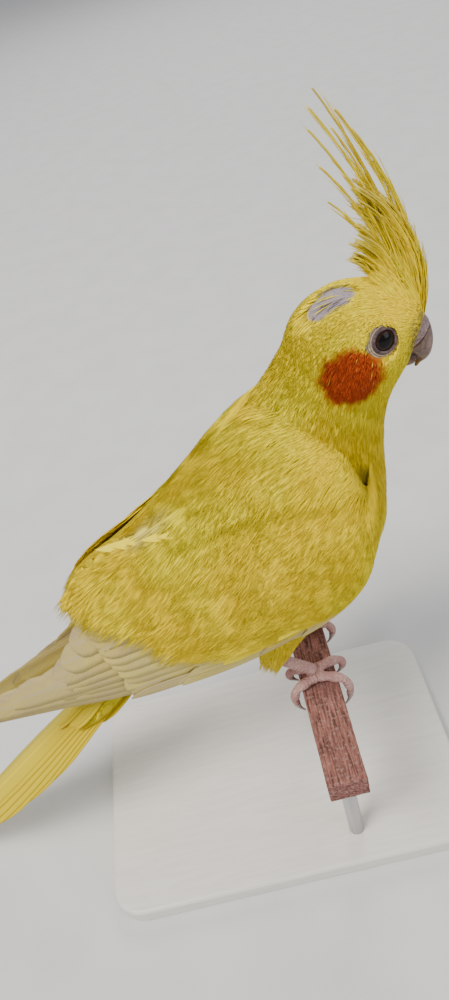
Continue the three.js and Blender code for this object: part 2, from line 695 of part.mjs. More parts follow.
place("head", makeHead(), yellow);
place("crest", makeCrest(), yellow);
place("neck", makeNeck(), yellow);
place("torso", makeTorso(), yellow);
place("tail", makeTail(), yellow);
place("cere", makeCere(), skin);
place("bill_upper", makeUpperBill(), horn);
place("bill_lower", makeLowerBill(), horn);
for (const [name, side] of [["left", 1], ["right", -1]]) {
  place(`eye_${name}`, eyeBall(side, eyeRadius), eyeDark);
  place(`wing_${name}`, makeWing(side), cream);
  place(`thigh_${name}`, makeThigh(side).subtract(bodyClear), yellow);
  place(`foot_${name}`, makeFoot(side), scales);
  for (const toe of toes) {
    place(`claw_${name}_${toe.name}`, makeClaw(side, toe), horn);
  }
}
place("perch", makePerch(), wood);
place("stand_base", makeBase(), baseWood);
place("stand_rod_front", makeRod(-1), steel);
place("stand_rod_back", makeRod(1), steel);

const group = new THREE.Group();
group.add(model);
export default group;
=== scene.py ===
"""Lutino cockatiel, life size, gripping a short batten on a plain display stand.

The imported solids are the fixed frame. This script dresses them: skin, feathers, bill, eyes, feet and wood.
"""

import math
from collections import namedtuple
from functools import partial

import bmesh
import bpy
import numpy as np
from bpy.props import FloatProperty, FloatVectorProperty, IntProperty, PointerProperty
from mathutils import Matrix, Vector, noise


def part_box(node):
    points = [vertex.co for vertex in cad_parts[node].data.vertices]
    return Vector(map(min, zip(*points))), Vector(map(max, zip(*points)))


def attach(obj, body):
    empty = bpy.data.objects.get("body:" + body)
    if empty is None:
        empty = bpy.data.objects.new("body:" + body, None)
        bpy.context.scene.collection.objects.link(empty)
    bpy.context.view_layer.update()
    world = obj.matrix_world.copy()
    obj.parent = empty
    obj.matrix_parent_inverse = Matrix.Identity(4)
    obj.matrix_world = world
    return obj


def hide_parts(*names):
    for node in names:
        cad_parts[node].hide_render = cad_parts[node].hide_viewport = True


bl_info = {
    "name": "Perched Lutino Cockatiel",
    "version": (1, 0, 0),
    "blender": (4, 5, 0),
    "location": "View3D > Sidebar > Cockatiel",
    "description": "Builds the skin, feathers, bill, eyes, feet and stand of a life-size cockatiel",
    "category": "Add Mesh",
}

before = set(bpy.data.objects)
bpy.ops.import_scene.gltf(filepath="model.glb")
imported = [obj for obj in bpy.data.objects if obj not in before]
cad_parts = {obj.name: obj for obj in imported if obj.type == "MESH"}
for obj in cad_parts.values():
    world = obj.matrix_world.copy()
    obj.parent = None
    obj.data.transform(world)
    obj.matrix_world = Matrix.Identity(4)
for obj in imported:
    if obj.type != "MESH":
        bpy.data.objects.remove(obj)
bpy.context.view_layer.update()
MM = 0.001

# The bird is drawn in millimetres about the middle of the batten's top
perch_low, perch_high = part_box("perch")
PERCH_MIDDLE = np.array([(perch_low.x + perch_high.x) / 2, 0.0, perch_high.z])
PERCH_WIDTH = round((perch_high.x - perch_low.x) / MM, 3)

# Body sections from tail base to cere: back x, z; belly x, z; half width; how much fuller to the belly
BODY = np.array([
    [-79, 30, -70, 12, 9, 0],
    [-71, 54, -57, 19, 14, 0],
    [-60, 71, -40, 26.5, 18.5, 0],
    [-43, 82.5, -20, 31.5, 21.5, -0.05],
    [-28.5, 97, 1, 37.5, 23.5, -0.05],
    [-15, 110.5, 20, 48, 23.5, 0],
    [-4.5, 118.3, 33, 62, 21.5, 0.05],
    [1.4, 123, 36, 79, 19, 0.05],
    [6, 128.2, 36.8, 97, 16.4, 0.05],
    [11.2, 134.8, 38, 107.5, 15, 0.08],
    [15.2, 142.2, 40.2, 114.5, 14.6, 0.12],
    [20.4, 147.1, 42.6, 118.8, 14.2, 0.14],
    [28, 150.2, 44.4, 121.6, 13.2, 0.12],
    [36, 149.8, 45.8, 123.4, 11.6, 0.08],
    [43.8, 147.2, 46.6, 125.2, 9.4, 0.04],
    [50, 142, 47.2, 127.2, 6.6, 0],
    [52.2, 136.6, 48.8, 130, 3.2, 0],
])
BODY_END = len(BODY) - 1
SKIN_SPAN = (-0.05, BODY_END + 0.36)
NAPE = 9.5

# Sizes in millimetres at sections of the body: first the sections, then the sizes
SKIN_DEPTH = ((0, 7, 9.5, 12, 15, 16), (2.2, 2.0, 1.7, 1.3, 0.9, 0.6))
ROW_LENGTH = ((0, 5, 8, 10, 16), (12, 11, 9, 6.5, 5))
HEAD_BARB_LENGTH = ((9, 12, 14, 15.5, 16), (7.2, 5.6, 4.2, 2.6, 1.8))
HEAD_BARB_HALF = ((9, 12, 14, 16), (0.17, 0.15, 0.13, 0.11))
BODY_COLUMNS = 20
BARB_SPANS = (("rump", (0.0, 2.3)), ("flanks", (2.3, 4.4)), ("back", (4.4, 6.6)), ("neck", (6.6, NAPE + 0.2)))

# Numbers of barbs in the smaller pieces of the coat
LOOSE_COUNT = 420
CREST_FOOT_COUNT = 3600
BIB_COUNT = 2000
CAPE_COUNT = 6400
TAIL_ROOT_COUNT = 4200
THIGH_COUNT = 4200

# Upper and lower half of the bill, in the same order of numbers
UPPER_BILL = np.array([
    [49, 137.5, 42, 128.5, 4.2, 0],
    [53, 134.2, 44.6, 126.6, 4.9, 0],
    [54.3, 129.6, 46.8, 124.9, 4.7, 0],
    [54.2, 125.8, 48.9, 123.4, 3.7, 0],
    [53.1, 122.4, 49.4, 121.9, 2.3, 0],
    [50.6, 120.2, 49.1, 120.4, 0.9, 0],
    [49.5, 118.9, 48.7, 119.1, 0.45, 0],
])
LOWER_BILL = np.array([
    [41.5, 126, 41, 121.5, 3.4, 0],
    [45, 125.4, 45, 120.9, 3.7, 0],
    [47.6, 123.9, 47.8, 120.9, 2.9, 0],
    [48.9, 122.4, 48.9, 121.2, 1.4, 0],
])
CERE_END = 1.35
MOUTH_MIDDLE = np.array([47.1, 0, 123.2])
MOUTH_SIZE = np.array([3.3, 2.0, 1.9])
BILL_MIDDLE = (52.5, 0, 130.5)
BILL_CLEAR = 5.2
NOSTRIL = Vector((53.0, 2.3, 131.6))

EYE = Vector((37.4, 8.1, 136.3))
EYE_RADIUS = 4.3
EYE_TURN = (14.0, 8.0)
EYE_FACE = 11.2
EYE_SOCKET = 11.4
EYE_CLEAR = 5.2
# The lids' inner edge and breadth, and their cross-section: how far from the eye's axis, and how far out
LID_START = 2.75
LID_BREADTH = 3.65
LID_PROFILE = (
    (2.75, 2.9), (2.88, 3.3), (3.0, 3.55), (3.2, 3.66), (3.5, 3.56), (3.75, 3.3), (3.92, 3.0), (4.1, 3.12),
    (4.32, 3.02), (4.5, 2.7), (4.7, 2.82), (4.92, 2.68), (5.08, 2.4), (5.3, 2.42), (5.6, 2.1), (6.1, 1.5),
    (6.7, 0.6),
)
BALD = (26.2, -3.4, 148.0)
BALD_SIZE = (7.4, 3.8, 6.5)

# Markings, and the painted shade of the shoulder crease: middle, half sizes, and the shares of them where the
# marking starts and ends to fade
CHEEK = ((27.6, 13.4, 129.4), (9.4, 11, 8.8), 0.74, 1.12)
FACE = ((50, 5, 132), (9, 8, 9), 0.5, 1.2)
THROAT = ((38, 0, 104), (14, 16, 30), 0.5, 1.2)
# Painted shade in the crease where the breast meets the folded wing's front edge
CREASE_SHADE = ((27.6, 18.5, 97.6), (3.0, 4.0, 4.2), 0.2, 1.3)
RUMPLED = ((-41, -8.5, 91), (15, 5, 9), 0.3, 1.1)

# Stretch of the body that the folded wings cover: along it, and round it from the back
UNDER_WINGS = (1.5, 6.4)
UNDER_WINGS_TURN = (0.95, 1.8)

# Wing stations from the wrist to the tip: lower edge x, out, z; upper edge x, out, z; outward bulge
WING = np.array([
    [28, 20, 77, 27, 18, 94, 2],
    [21.5, 23, 63.5, 20, 18.5, 104.5, 4.5],
    [10, 24.2, 53.5, 8, 16.5, 109.5, 6.5],
    [-6, 24.4, 46.5, -10, 11, 107, 8],
    [-24, 23.8, 40.5, -28.5, 5.5, 96.5, 9],
    [-45, 21.5, 34.5, -49, 4, 84.5, 8],
    [-67, 17.5, 27, -70, 4, 74, 6],
    [-92, 13.5, 23.5, -90, 6.5, 54, 2.5],
    [-118, 10.5, 20.5, -113, 7.5, 40, 1],
    [-139, 8.5, 18.5, -138, 8, 23, 0],
])
WING_END = len(WING) - 1
WING_LENGTH = 168
WRIST_PIVOT = (22.0, 88.0)
FAR_WING_DROOP = 4.5
WING_INNER = -2.2
WING_CORE_END = 0.62
WING_SLANT = 0.5
ARM_COLUMN = 7.2

TAIL_ROOT = (-72.5, 20.5)
TAIL_DROP = 39.3
TAIL_ROOF = 0.012
# Pairs of tail feathers from the middle outwards: length, how far out the edge is, half width
TAIL_PAIRS = (
    (142, 8.2, 7.2),
    (134, 12.4, 6.8),
    (121, 15.4, 6.6),
    (104, 17.2, 6.2),
    (87, 17.6, 5.8),
    (71, 17.0, 5.4),
)
# Coverts of the tail: count, lengths at side and middle, half width, how far out, rise
TAIL_COVERTS = (
    (11, (30, 44), 3.6, 8.5, (4.4, 1.5)),
    (9, (24, 38), 3.8, 8, (-4.8, -4.7)),
    (9, (16, 30), 3.6, 8, (4.9, 3.0)),
)
# Half widths and thicknesses of the tail's root, one every 8.5 mm from 8 mm before it
TAIL_ROOT_HALF = (8, 10.5, 12, 12, 10.5, 9)
TAIL_ROOT_THICK = (13, 10.5, 8, 5.5, 2.6, 0.6)

FOOT_OUT = {1: 15.2, -1: 11.6}
THIGH_TOP = (-3.0, 44.0)
THIGH_OUT = 11.0
HEEL = (-14.5, 18.5)
FOOT_CENTRE = (-0.6, 4.6)
FOOT_PAD = np.array([3.4, 3.8, 2.2])
FOOT_PAD_HEIGHT = 2.55
# Radius of a thigh's coat at shares of the way from hip to heel
THIGH_RADIUS = ((-0.5, 0, 0.3, 0.6, 0.85, 1.0, 1.2), (10.5, 9.4, 8.4, 7.0, 5.9, 4.6, 2.9))
# Toes: name, forwards or backwards, how far out at root and end, length
TOES = (
    ("front_inner", 1, -1.6, -5.2, 13.5),
    ("front_outer", 1, 1.6, 5.6, 18.0),
    ("rear_inner", -1, -1.6, -5.0, 12.5),
    ("rear_outer", -1, 1.6, 5.4, 16.0),
)
TOE_ROOT = 2.1
TOE_TIP = 1.35
TOE_GAP = 0.35
SIDES = ((1, "left"), (-1, "right"))

# Camera at the photograph's viewing angle
CAMERA_PLACE = (0.02336, -0.18435, 0.32324)
CAMERA_RIGHT = (0.96649, -0.12975, -0.22151)
CAMERA_UP = (0.25275, 0.63192, 0.73266)
CAMERA_LENS = 27.04

# Lights: name, place, size, power, colour
LIGHTS = (
    ("key", (-1.1, -0.9, 2.4), 1.1, 88.0, (1.0, 0.97, 0.92)),
    ("fill", (1.9, -1.6, 1.3), 1.6, 22.0, (0.95, 0.97, 1.0)),
    ("rim", (0.5, 2.3, 1.9), 1.2, 30.0, (1.0, 0.98, 0.95)),
)
LIT_MIDDLE = (0.0, 0.0, 0.17)
SKY = (0.93, 0.95, 1.0, 1)
SKY_STRENGTH = 0.52

# Tufts from root to tip: share of the length, share of the full half width
BROAD_TUFT = ((0.0, 0.55), (0.35, 1.0), (0.7, 0.9), (0.9, 0.5))
FINE_TUFT = ((0.0, 0.8), (0.55, 1.0))
SHORT_TUFT = ((0.0, 0.8), (0.5, 1.0))
STRAND_TUFT = ((0.0, 0.7), (0.3, 1.0), (0.7, 0.7))
CREST_FOOT_TUFT = ((0.0, 0.8), (0.35, 1.0), (0.7, 0.75))
BAKE_PATCH = 0.0015

# Vanes: shares of the length, shares of the half width, and what each feather tells of itself
VANE_RUNGS = np.array([0, 0.12, 0.25, 0.4, 0.55, 0.68, 0.78, 0.86, 0.92, 0.965, 0.99, 1.0])
VANE_ACROSS = np.array([-1, -0.6, -0.12, 0, 0.12, 0.6, 1.0])
Feather = namedtuple("Feather", "root tip half thick rise tilt shape bow", defaults=(0.0,))


def mix(a, b, t):
    """Value at share t of the way from a to b."""
    return a + (b - a) * t


def curve(a, b, c, t):
    """Point at share t of a curve from a towards b and on to c."""
    return (1 - t) ** 2 * a + 2 * t * (1 - t) * b + t * t * c


def alike(*values):
    """Numbers and arrays brought to one common shape."""
    return np.broadcast_arrays(*(np.asarray(n, float) for n in values))


def limit(low, high, value):
    """A number kept between two others."""
    return max(low, min(high, value))


def smooth(values, t):
    """Smooth curve that passes through the values at 0, 1, 2 and so on."""
    values = np.asarray(values, float)
    t = np.asarray(t, float)
    last = len(values) - 1
    i = np.clip(np.floor(t).astype(int), 0, last - 1)
    f = t - i
    a, b = values[i], values[i + 1]
    before = np.where(i > 0, values[np.maximum(i - 1, 0)], 2 * values[0] - values[1])
    after = np.where(i + 2 <= last, values[np.minimum(i + 2, last)], 2 * values[last] - values[last - 1])
    bent = 0.5 * (2 * a + (b - before) * f + (2 * before - 5 * a + 4 * b - after) * f * f
                  + (3 * a - before - 3 * b + after) * f ** 3)
    return np.where(f < 0, a + f * (b - a), np.where(f > 1, b + (f - 1) * (b - a), bent))


def to_frame(points):
    """Points of the bird in millimetres as points of the frame in metres."""
    return np.asarray(points, float) * MM + PERCH_MIDDLE


def section_point(sections, t, angle, grow=0.0, scale=1.0):
    """Points on a body or bill: t along its sections, angle from the back, half a turn to the belly."""
    t, angle = alike(t, angle)
    back_x, back_z, belly_x, belly_z, half, full = (smooth(sections[:, k], t) for k in range(6))
    rise_x, rise_z = (back_x - belly_x) / 2, (back_z - belly_z) / 2
    size = np.maximum(np.hypot(rise_x, rise_z), 1e-6)
    longer = (size + grow) / size
    around, out = np.cos(angle) * scale, np.sin(angle) * scale
    x = (back_x + belly_x) / 2 + rise_x * longer * around
    z = (back_z + belly_z) / 2 + rise_z * longer * around
    return np.stack([x, (half + grow) * out * (1 - full * np.cos(angle)), z], axis=-1)


def body_point(t, angle, grow=0.0):
    """Points on the feathered body."""
    return section_point(BODY, t, angle, grow)


def wing_point(side, u, v, h):
    """Points on a folded wing: u from wrist to tip, v from lower to upper edge, h millimetres outwards."""
    u, v, h = alike(u, v, h)
    edges = [smooth(WING[:, k], u * WING_END) for k in range(7)]

    def sheet(place):
        x, y, z = (mix(edges[k], edges[k + 3], place) for k in range(3))
        return np.stack([x, y + edges[6] * 4 * place * (1 - place), z], axis=-1)

    step = sheet(v + 0.02) - sheet(v - 0.02)
    step /= np.maximum(np.linalg.norm(step, axis=-1, keepdims=True), 1e-9)
    point = sheet(v)
    point[..., 1] += h * step[..., 2]
    point[..., 2] -= h * step[..., 1]
    droop = math.radians(FAR_WING_DROOP) * u if side > 0 else 0.0 * u
    x, z = point[..., 0] - WRIST_PIVOT[0], point[..., 2] - WRIST_PIVOT[1]
    turned_x = x * np.cos(droop) - z * np.sin(droop)
    turned_z = x * np.sin(droop) + z * np.cos(droop)
    return np.stack([turned_x + WRIST_PIVOT[0], side * point[..., 1], turned_z + WRIST_PIVOT[1]], axis=-1)


def tail_point(along, out, level):
    """Points on the tail: along it from its root, out to a side, and over its roof-shaped sheet."""
    along, out, level = alike(along, out, level)
    drop = math.radians(TAIL_DROP)
    rise = level - TAIL_ROOF * out * out
    x = TAIL_ROOT[0] - math.cos(drop) * along - math.sin(drop) * rise
    z = TAIL_ROOT[1] - math.sin(drop) * along + math.cos(drop) * rise
    return np.stack([x, out, z], axis=-1)


def even_points(count, seed):
    """Evenly scattered places in the unit square."""
    i = np.arange(count) + seed * 0.61803
    jitter = np.random.default_rng(seed).uniform(-0.3, 0.3, (count, 2)) / math.sqrt(count)
    return np.stack([(0.5 + i * 0.7548776662) % 1, (0.5 + i * 0.5698402910) % 1], axis=1) + jitter


def spread(surface, span_a, span_b, count, seed):
    """Places (a, b) spread over a surface so that equal areas get equal numbers."""
    a = np.linspace(*span_a, 80)
    b = np.linspace(*span_b, 80)
    grid = surface(*np.meshgrid(a, b, indexing="ij"), 0)
    across = np.linalg.norm(np.diff(grid, axis=1)[:-1], axis=-1)
    along = np.linalg.norm(np.diff(grid, axis=0)[:, :-1], axis=-1)
    area = across * along
    unit = np.clip(even_points(count, seed), 0.0005, 0.9995)
    rows = np.concatenate([[0], np.cumsum(area.sum(axis=1))])
    place_a = np.interp(unit[:, 0], rows / rows[-1], a)
    row = np.clip(np.searchsorted(a, place_a) - 1, 0, len(a) - 2)
    columns = np.concatenate([np.zeros((len(a) - 1, 1)), np.cumsum(area, axis=1)], axis=1)
    columns /= columns[:, -1:]
    place_b = np.array([np.interp(share, columns[r], b) for share, r in zip(unit[:, 1], row)])
    return place_a, place_b


def waves(points, size, seed):
    """Smooth noise at points of the bird, with features of a size in millimetres."""
    shift = Vector((7.3 * seed, 0, 0))
    return np.array([noise.noise(Vector(p / size) + shift) for p in np.asarray(points)])


def tones(points, rng, patch=5.0, scatter=0.12):
    """A tone for every tuft: near tufts alike, with a little scatter."""
    return np.clip(0.5 + 0.34 * waves(points, patch, 4) + rng.normal(0, scatter, len(points)), 0, 1)


def laps(phase, columns):
    """Overlapping feathers: how far along and aside its feather each place is, and the feather's number."""
    column = np.floor(columns)
    aside = 2 * (columns - column) - 1
    phase = phase + 0.5 * (column % 2) + 0.28 * aside ** 2 + 0.12 * np.sin(column * 2.4)
    feather = np.floor(phase)
    return phase - feather, aside, (np.sin(feather * 12.9898 + column * 78.233) * 437.585) % 1


def new_object(name, data):
    """A new object in the scene."""
    made = bpy.data.objects.new(name, data)
    bpy.context.scene.collection.objects.link(made)
    return made


def link_piece(name, mesh, material, slot, replaces=()):
    """Makes a mesh a piece of the object that rides on its one body."""
    piece = new_object(name, mesh)
    mesh.materials.append(material)
    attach(piece, "root")
    if replaces:
        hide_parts(*replaces)
    return piece


def smooth_faces(mesh):
    """Shades every face of a mesh smoothly."""
    mesh.polygons.foreach_set("use_smooth", np.ones(len(mesh.polygons), bool))


def ball(around, along, radius=1.0):
    """A new bmesh that holds a sphere."""
    bm = bmesh.new()
    bmesh.ops.create_uvsphere(bm, u_segments=around, v_segments=along, radius=radius)
    return bm


def round_edges(bm, edges, offset, segments):
    """Rounds edges of a bmesh."""
    bmesh.ops.bevel(bm, geom=edges, offset=offset, affect="EDGES", segments=segments, profile=0.5,
                    material=-1)


def mesh_of(bm, name, shade=True):
    """Ends a bmesh: its faces look outwards, and it becomes a smooth mesh."""
    bmesh.ops.recalc_face_normals(bm, faces=bm.faces)
    mesh = bpy.data.meshes.new(name)
    bm.to_mesh(mesh)
    bm.free()
    if shade:
        smooth_faces(mesh)
    return mesh


def coat_piece(name, points, faces, roots, tone, reach, across, material, slot="yellow_feathers",
               replaces=()):
    """One coat piece: every tuft's points, one tuft's faces, and each root's place on the skin's unwrap."""
    tufts, corners = points.shape[:2]
    corner = [points[0][list(face)] for face in faces]
    corner = [k - points[0].mean(axis=0) for k in corner]
    volume = sum(np.dot(c[0], np.cross(c[1], c[2])) for c in corner)
    face = np.array(faces)
    if volume < 0:
        face = face[:, ::-1]
    face = (face[None] + np.arange(tufts)[:, None, None] * corners).reshape(-1, 3)
    mesh = bpy.data.meshes.new(name)
    mesh.vertices.add(tufts * corners)
    mesh.vertices.foreach_set("co", to_frame(points).astype(np.float32).ravel())
    mesh.loops.add(face.size)
    mesh.loops.foreach_set("vertex_index", face.astype(np.int32).ravel())
    mesh.polygons.add(len(face))
    mesh.polygons.foreach_set("loop_start", np.arange(0, face.size, 3, dtype=np.int32))
    mesh.update(calc_edges=True)
    mesh.validate()
    spot = np.stack([across, reach * 2 - 1], axis=-1) * BAKE_PATCH
    bake = (np.asarray(roots)[:, None, :] + np.broadcast_to(spot, (tufts, corners, 2))).reshape(-1, 2)
    layer = mesh.uv_layers.new(name="OFBake")
    layer.data.foreach_set("uv", bake[face.ravel()].astype(np.float32).ravel())
    for label, value in (("tone", tone), ("reach", reach), ("across", across)):
        attribute = mesh.attributes.new(label, "FLOAT", "POINT")
        value = np.asarray(value, float)
        value = value[:, None] if value.shape == (tufts,) else value
        value = np.broadcast_to(value, (tufts, corners)).astype(np.float32)
        attribute.data.foreach_set("value", value.ravel())
    smooth_faces(mesh)
    return link_piece(name, mesh, material, slot, replaces)


def tuft_faces(rungs):
    """Faces of a closed tuft: rungs of three points, then its tip."""
    faces = [(0, 2, 1)]
    for a in range(0, 3 * (rungs - 1), 3):
        b = a + 3
        faces += [(a, a + 1, b + 1), (a, b + 1, b), (a + 1, a + 2, b + 2), (a + 1, b + 2, b + 1)]
        faces += [(a + 2, a, b), (a + 2, b, b + 2)]
    a, tip = 3 * (rungs - 1), 3 * rungs
    return faces + [(a, a + 1, tip), (a + 1, a + 2, tip), (a + 2, a, tip)]


def tuft_marks(shape):
    """How far along a tuft each of its points is, and how far to its side."""
    reach = np.array([s for s, _ in shape for _ in range(3)] + [1.0])
    across = np.array([w * way for _, w in shape for way in (-1, 1, 0)] + [0.0])
    return reach, across


def lay_tufts(surface, a, b, toward, length, half, rise, turn, thick, shape):
    """Points of closed tufts that lie on a surface, each pointing along its first number."""
    nudge = 0.02
    step_a = np.linalg.norm(surface(a + nudge, b, 0) - surface(a - nudge, b, 0), axis=-1) / (2 * nudge)
    step_b = np.linalg.norm(surface(a, b + nudge, 0) - surface(a, b - nudge, 0), axis=-1) / (2 * nudge)
    step_a, step_b = np.maximum(step_a, 1.0), np.maximum(step_b, 1.0)
    points = []
    for s, share in [*shape, (1.0, 0.0)]:
        at_a = a + toward * length * s * np.cos(turn) / step_a
        at_b = b + length * s * np.sin(turn) / step_b
        wide = half * share / step_b
        h = mix(rise[0], rise[1], s)
        if s < 1.0:
            points += [surface(at_a, at_b - wide, h), surface(at_a, at_b + wide, h)]
        points.append(surface(at_a, at_b, h + (thick * share if s < 1.0 else 0)))
    return np.stack(points, axis=1)


def lay_coat(name, surface, a, b, shape, lengths, widths, rises, turn, thick, roots, tone, material,
             toward=1.0):
    """One coat piece of tufts that lie on a surface."""
    points = lay_tufts(surface, a, b, toward, lengths, widths, rises, turn, thick, shape)
    reach, across = tuft_marks(shape)
    return coat_piece(name, points, tuft_faces(len(shape)), roots, tone, reach, across, material)


def bend_tufts(start, bend, end, half, thick, shape, face):
    """Points of closed tufts along curved lines, each flat against its facing direction."""
    points = []
    for s, share in [*shape, (1.0, 0.0)]:
        at = curve(start, bend, end, s)
        along = (1 - s) * (bend - start) + s * (end - bend)
        across = np.cross(along, face)
        across /= np.linalg.norm(across, axis=1, keepdims=True)
        up = np.cross(across, along)
        up /= np.linalg.norm(up, axis=1, keepdims=True)
        wide = half[:, None] * share * across
        if s < 1:
            points += [at - wide, at + wide, at + up * thick * share]
        else:
            points.append(at)
    return np.stack(points, axis=1)


def vane_faces(rungs, across):
    """Faces of a closed vane: a grid of top points, then the same grid under it."""
    under = rungs * across
    faces = []
    for i in range(rungs - 1):
        for j in range(across - 1):
            a, b, c, d = i * across + j, i * across + j + 1, (i + 1) * across + j + 1, (i + 1) * across + j
            faces += [(a, b, c), (a, c, d)]
            faces += [(under + c, under + b, under + a), (under + d, under + c, under + a)]
        for j, flip in ((0, 1), (across - 1, 0)):
            a, d = i * across + j, (i + 1) * across + j
            quad = [(a, d, under + d), (a, under + d, under + a)]
            faces += quad if flip else [q[::-1] for q in quad]
    for i, flip in ((0, 0), (rungs - 1, 1)):
        for j in range(across - 1):
            a, b = i * across + j, i * across + j + 1
            quad = [(a, under + a, under + b), (a, under + b, b)]
            faces += [q[::-1] for q in quad] if flip else quad
    return faces


VANE_FACES = vane_faces(len(VANE_RUNGS), len(VANE_ACROSS))


def vane_width(s, base, full, round_from, sharp):
    """Share of a feather's full half width at share s of its length."""
    s = np.asarray(s, float)
    grow = mix(base, 1.0, np.clip(s / full, 0, 1) ** 0.7)
    end = np.clip((s - round_from) / (1 - round_from), 0, 1)
    return grow * np.maximum(1 - end ** 2, 0.0025) ** sharp


def lay_vanes(surface, feathers, seed):
    """Points of closed vanes along their feathers' lines."""
    rng = np.random.default_rng(seed)
    points = []
    s, x = np.meshgrid(VANE_RUNGS, VANE_ACROSS, indexing="ij")
    for f in feathers:
        width = vane_width(s, *f.shape)
        notch = 1 + 0.02 * rng.standard_normal(s.shape) * (np.abs(x) > 0.9)
        a = mix(f.root[0], f.tip[0], s)
        b = mix(f.root[1], f.tip[1], s) + f.bow * 4 * s * (1 - s)
        h = mix(f.rise[0], f.rise[1], s) - x * f.tilt * width
        h += f.half * 0.025 * (1 - x * x) * width
        shaft = 0.1 * np.exp(-(x / 0.08) ** 2) * (1 - 0.7 * s)
        wide = f.half * width * x * notch
        points.append(np.concatenate([
            surface(a, b, wide, h + shaft).reshape(-1, 3),
            surface(a, b, wide, h - f.thick * (0.4 + 0.6 * (1 - s))).reshape(-1, 3),
        ]))
    return np.stack(points)


def vane_marks():
    """How far along a vane each of its points is, and how far to its side."""
    s, x = np.meshgrid(VANE_RUNGS, VANE_ACROSS, indexing="ij")
    return np.tile(s.ravel(), 2), np.tile(x.ravel(), 2)


def add_node(tree, kind, inputs=None, **settings):
    """Adds a shader node, sets it and links it."""
    made = tree.nodes.new(kind)
    for key, value in settings.items():
        setattr(made, key, value)
    for key, value in (inputs or {}).items():
        if isinstance(value, bpy.types.NodeSocket):
            tree.links.new(value, made.inputs[key])
        else:
            made.inputs[key].default_value = value
    return made


def maths(tree, operation, a, b=0.0, c=0.0):
    """A number worked out from one, two or three others."""
    return add_node(tree, "ShaderNodeMath", {0: a, 1: b, 2: c}, operation=operation).outputs[0]


def times(tree, a, b):
    """One number times another."""
    return maths(tree, "MULTIPLY", a, b)


def blend_colour(tree, share, a, b):
    """A colour between two others, each a link or three numbers."""
    a, b = (k if isinstance(k, bpy.types.NodeSocket) else [*k, 1] for k in (a, b))
    return add_node(tree, "ShaderNodeMix", {0: share, 6: a, 7: b}, data_type="RGBA").outputs[2]


def washed(tree, colour, *washes):
    """A colour with others laid over it in turn, each by its share."""
    for share, over in washes:
        colour = blend_colour(tree, share, colour, over)
    return colour


def toned(colour, share):
    """A colour made darker or lighter by a share."""
    return [min(1.0, c * share) for c in colour]


def place_on(tree):
    """The place on the object, in metres."""
    return add_node(tree, "ShaderNodeTexCoord").outputs["Object"]


def stretched(tree, place, scale):
    """The place with each direction stretched."""
    return add_node(tree, "ShaderNodeMapping", {"Vector": place, "Scale": scale}).outputs[0]


def ramp(tree, value, low, high, to_low=0.0, to_high=1.0):
    """A number carried smoothly from one range to another, and kept inside it."""
    made = add_node(tree, "ShaderNodeMapRange", {0: value, 1: low, 2: high, 3: to_low, 4: to_high},
                    interpolation_type="SMOOTHSTEP")
    return made.outputs[0]


def speckle(tree, vector, scale, detail=3.0):
    """A noise pattern's value."""
    made = add_node(tree, "ShaderNodeTexNoise", {"Vector": vector, "Scale": scale, "Detail": detail})
    return made.outputs[0]


def near(tree, place, centre, radii, inner, outer):
    """1 inside an ellipsoid about a point of the bird, falling softly to 0 outside it."""
    middle = to_frame(centre)
    scale = [1 / (r * MM) for r in radii]
    moved = add_node(tree, "ShaderNodeMapping", {
        "Vector": place, "Location": [-m * k for m, k in zip(middle, scale)], "Scale": scale})
    length = add_node(tree, "ShaderNodeVectorMath", {0: moved.outputs[0]}, operation="LENGTH")
    return ramp(tree, length.outputs["Value"], inner, outer, 1.0, 0.0)


def new_material(name, roughness, **sockets):
    """A material with its principled shader's plain sockets set."""
    made = bpy.data.materials.new(name)
    made.use_nodes = True
    shader = made.node_tree.nodes["Principled BSDF"]
    shader.inputs["Roughness"].default_value = roughness
    for key, value in sockets.items():
        shader.inputs[key.replace("_", " ")].default_value = value
    return made, made.node_tree, shader


def mirrored_place(tree):
    """The place on the object with both sides folded onto the left one."""
    place = place_on(tree)
    parts = add_node(tree, "ShaderNodeSeparateXYZ", {0: place}).outputs
    out = maths(tree, "ABSOLUTE", parts[1])
    return place, add_node(tree, "ShaderNodeCombineXYZ", {0: parts[0], 1: out, 2: parts[2]}).outputs[0]


def paint(tree, shader, colour, height=None, distance=0.0, strength=0.6):
    """Gives a shader its colour, and bumps as high as a height says."""
    tree.links.new(colour, shader.inputs["Base Color"])
    if height is not None:
        settings = {"Height": height, "Strength": strength, "Distance": distance}
        tree.links.new(add_node(tree, "ShaderNodeBump", settings).outputs[0], shader.inputs["Normal"])


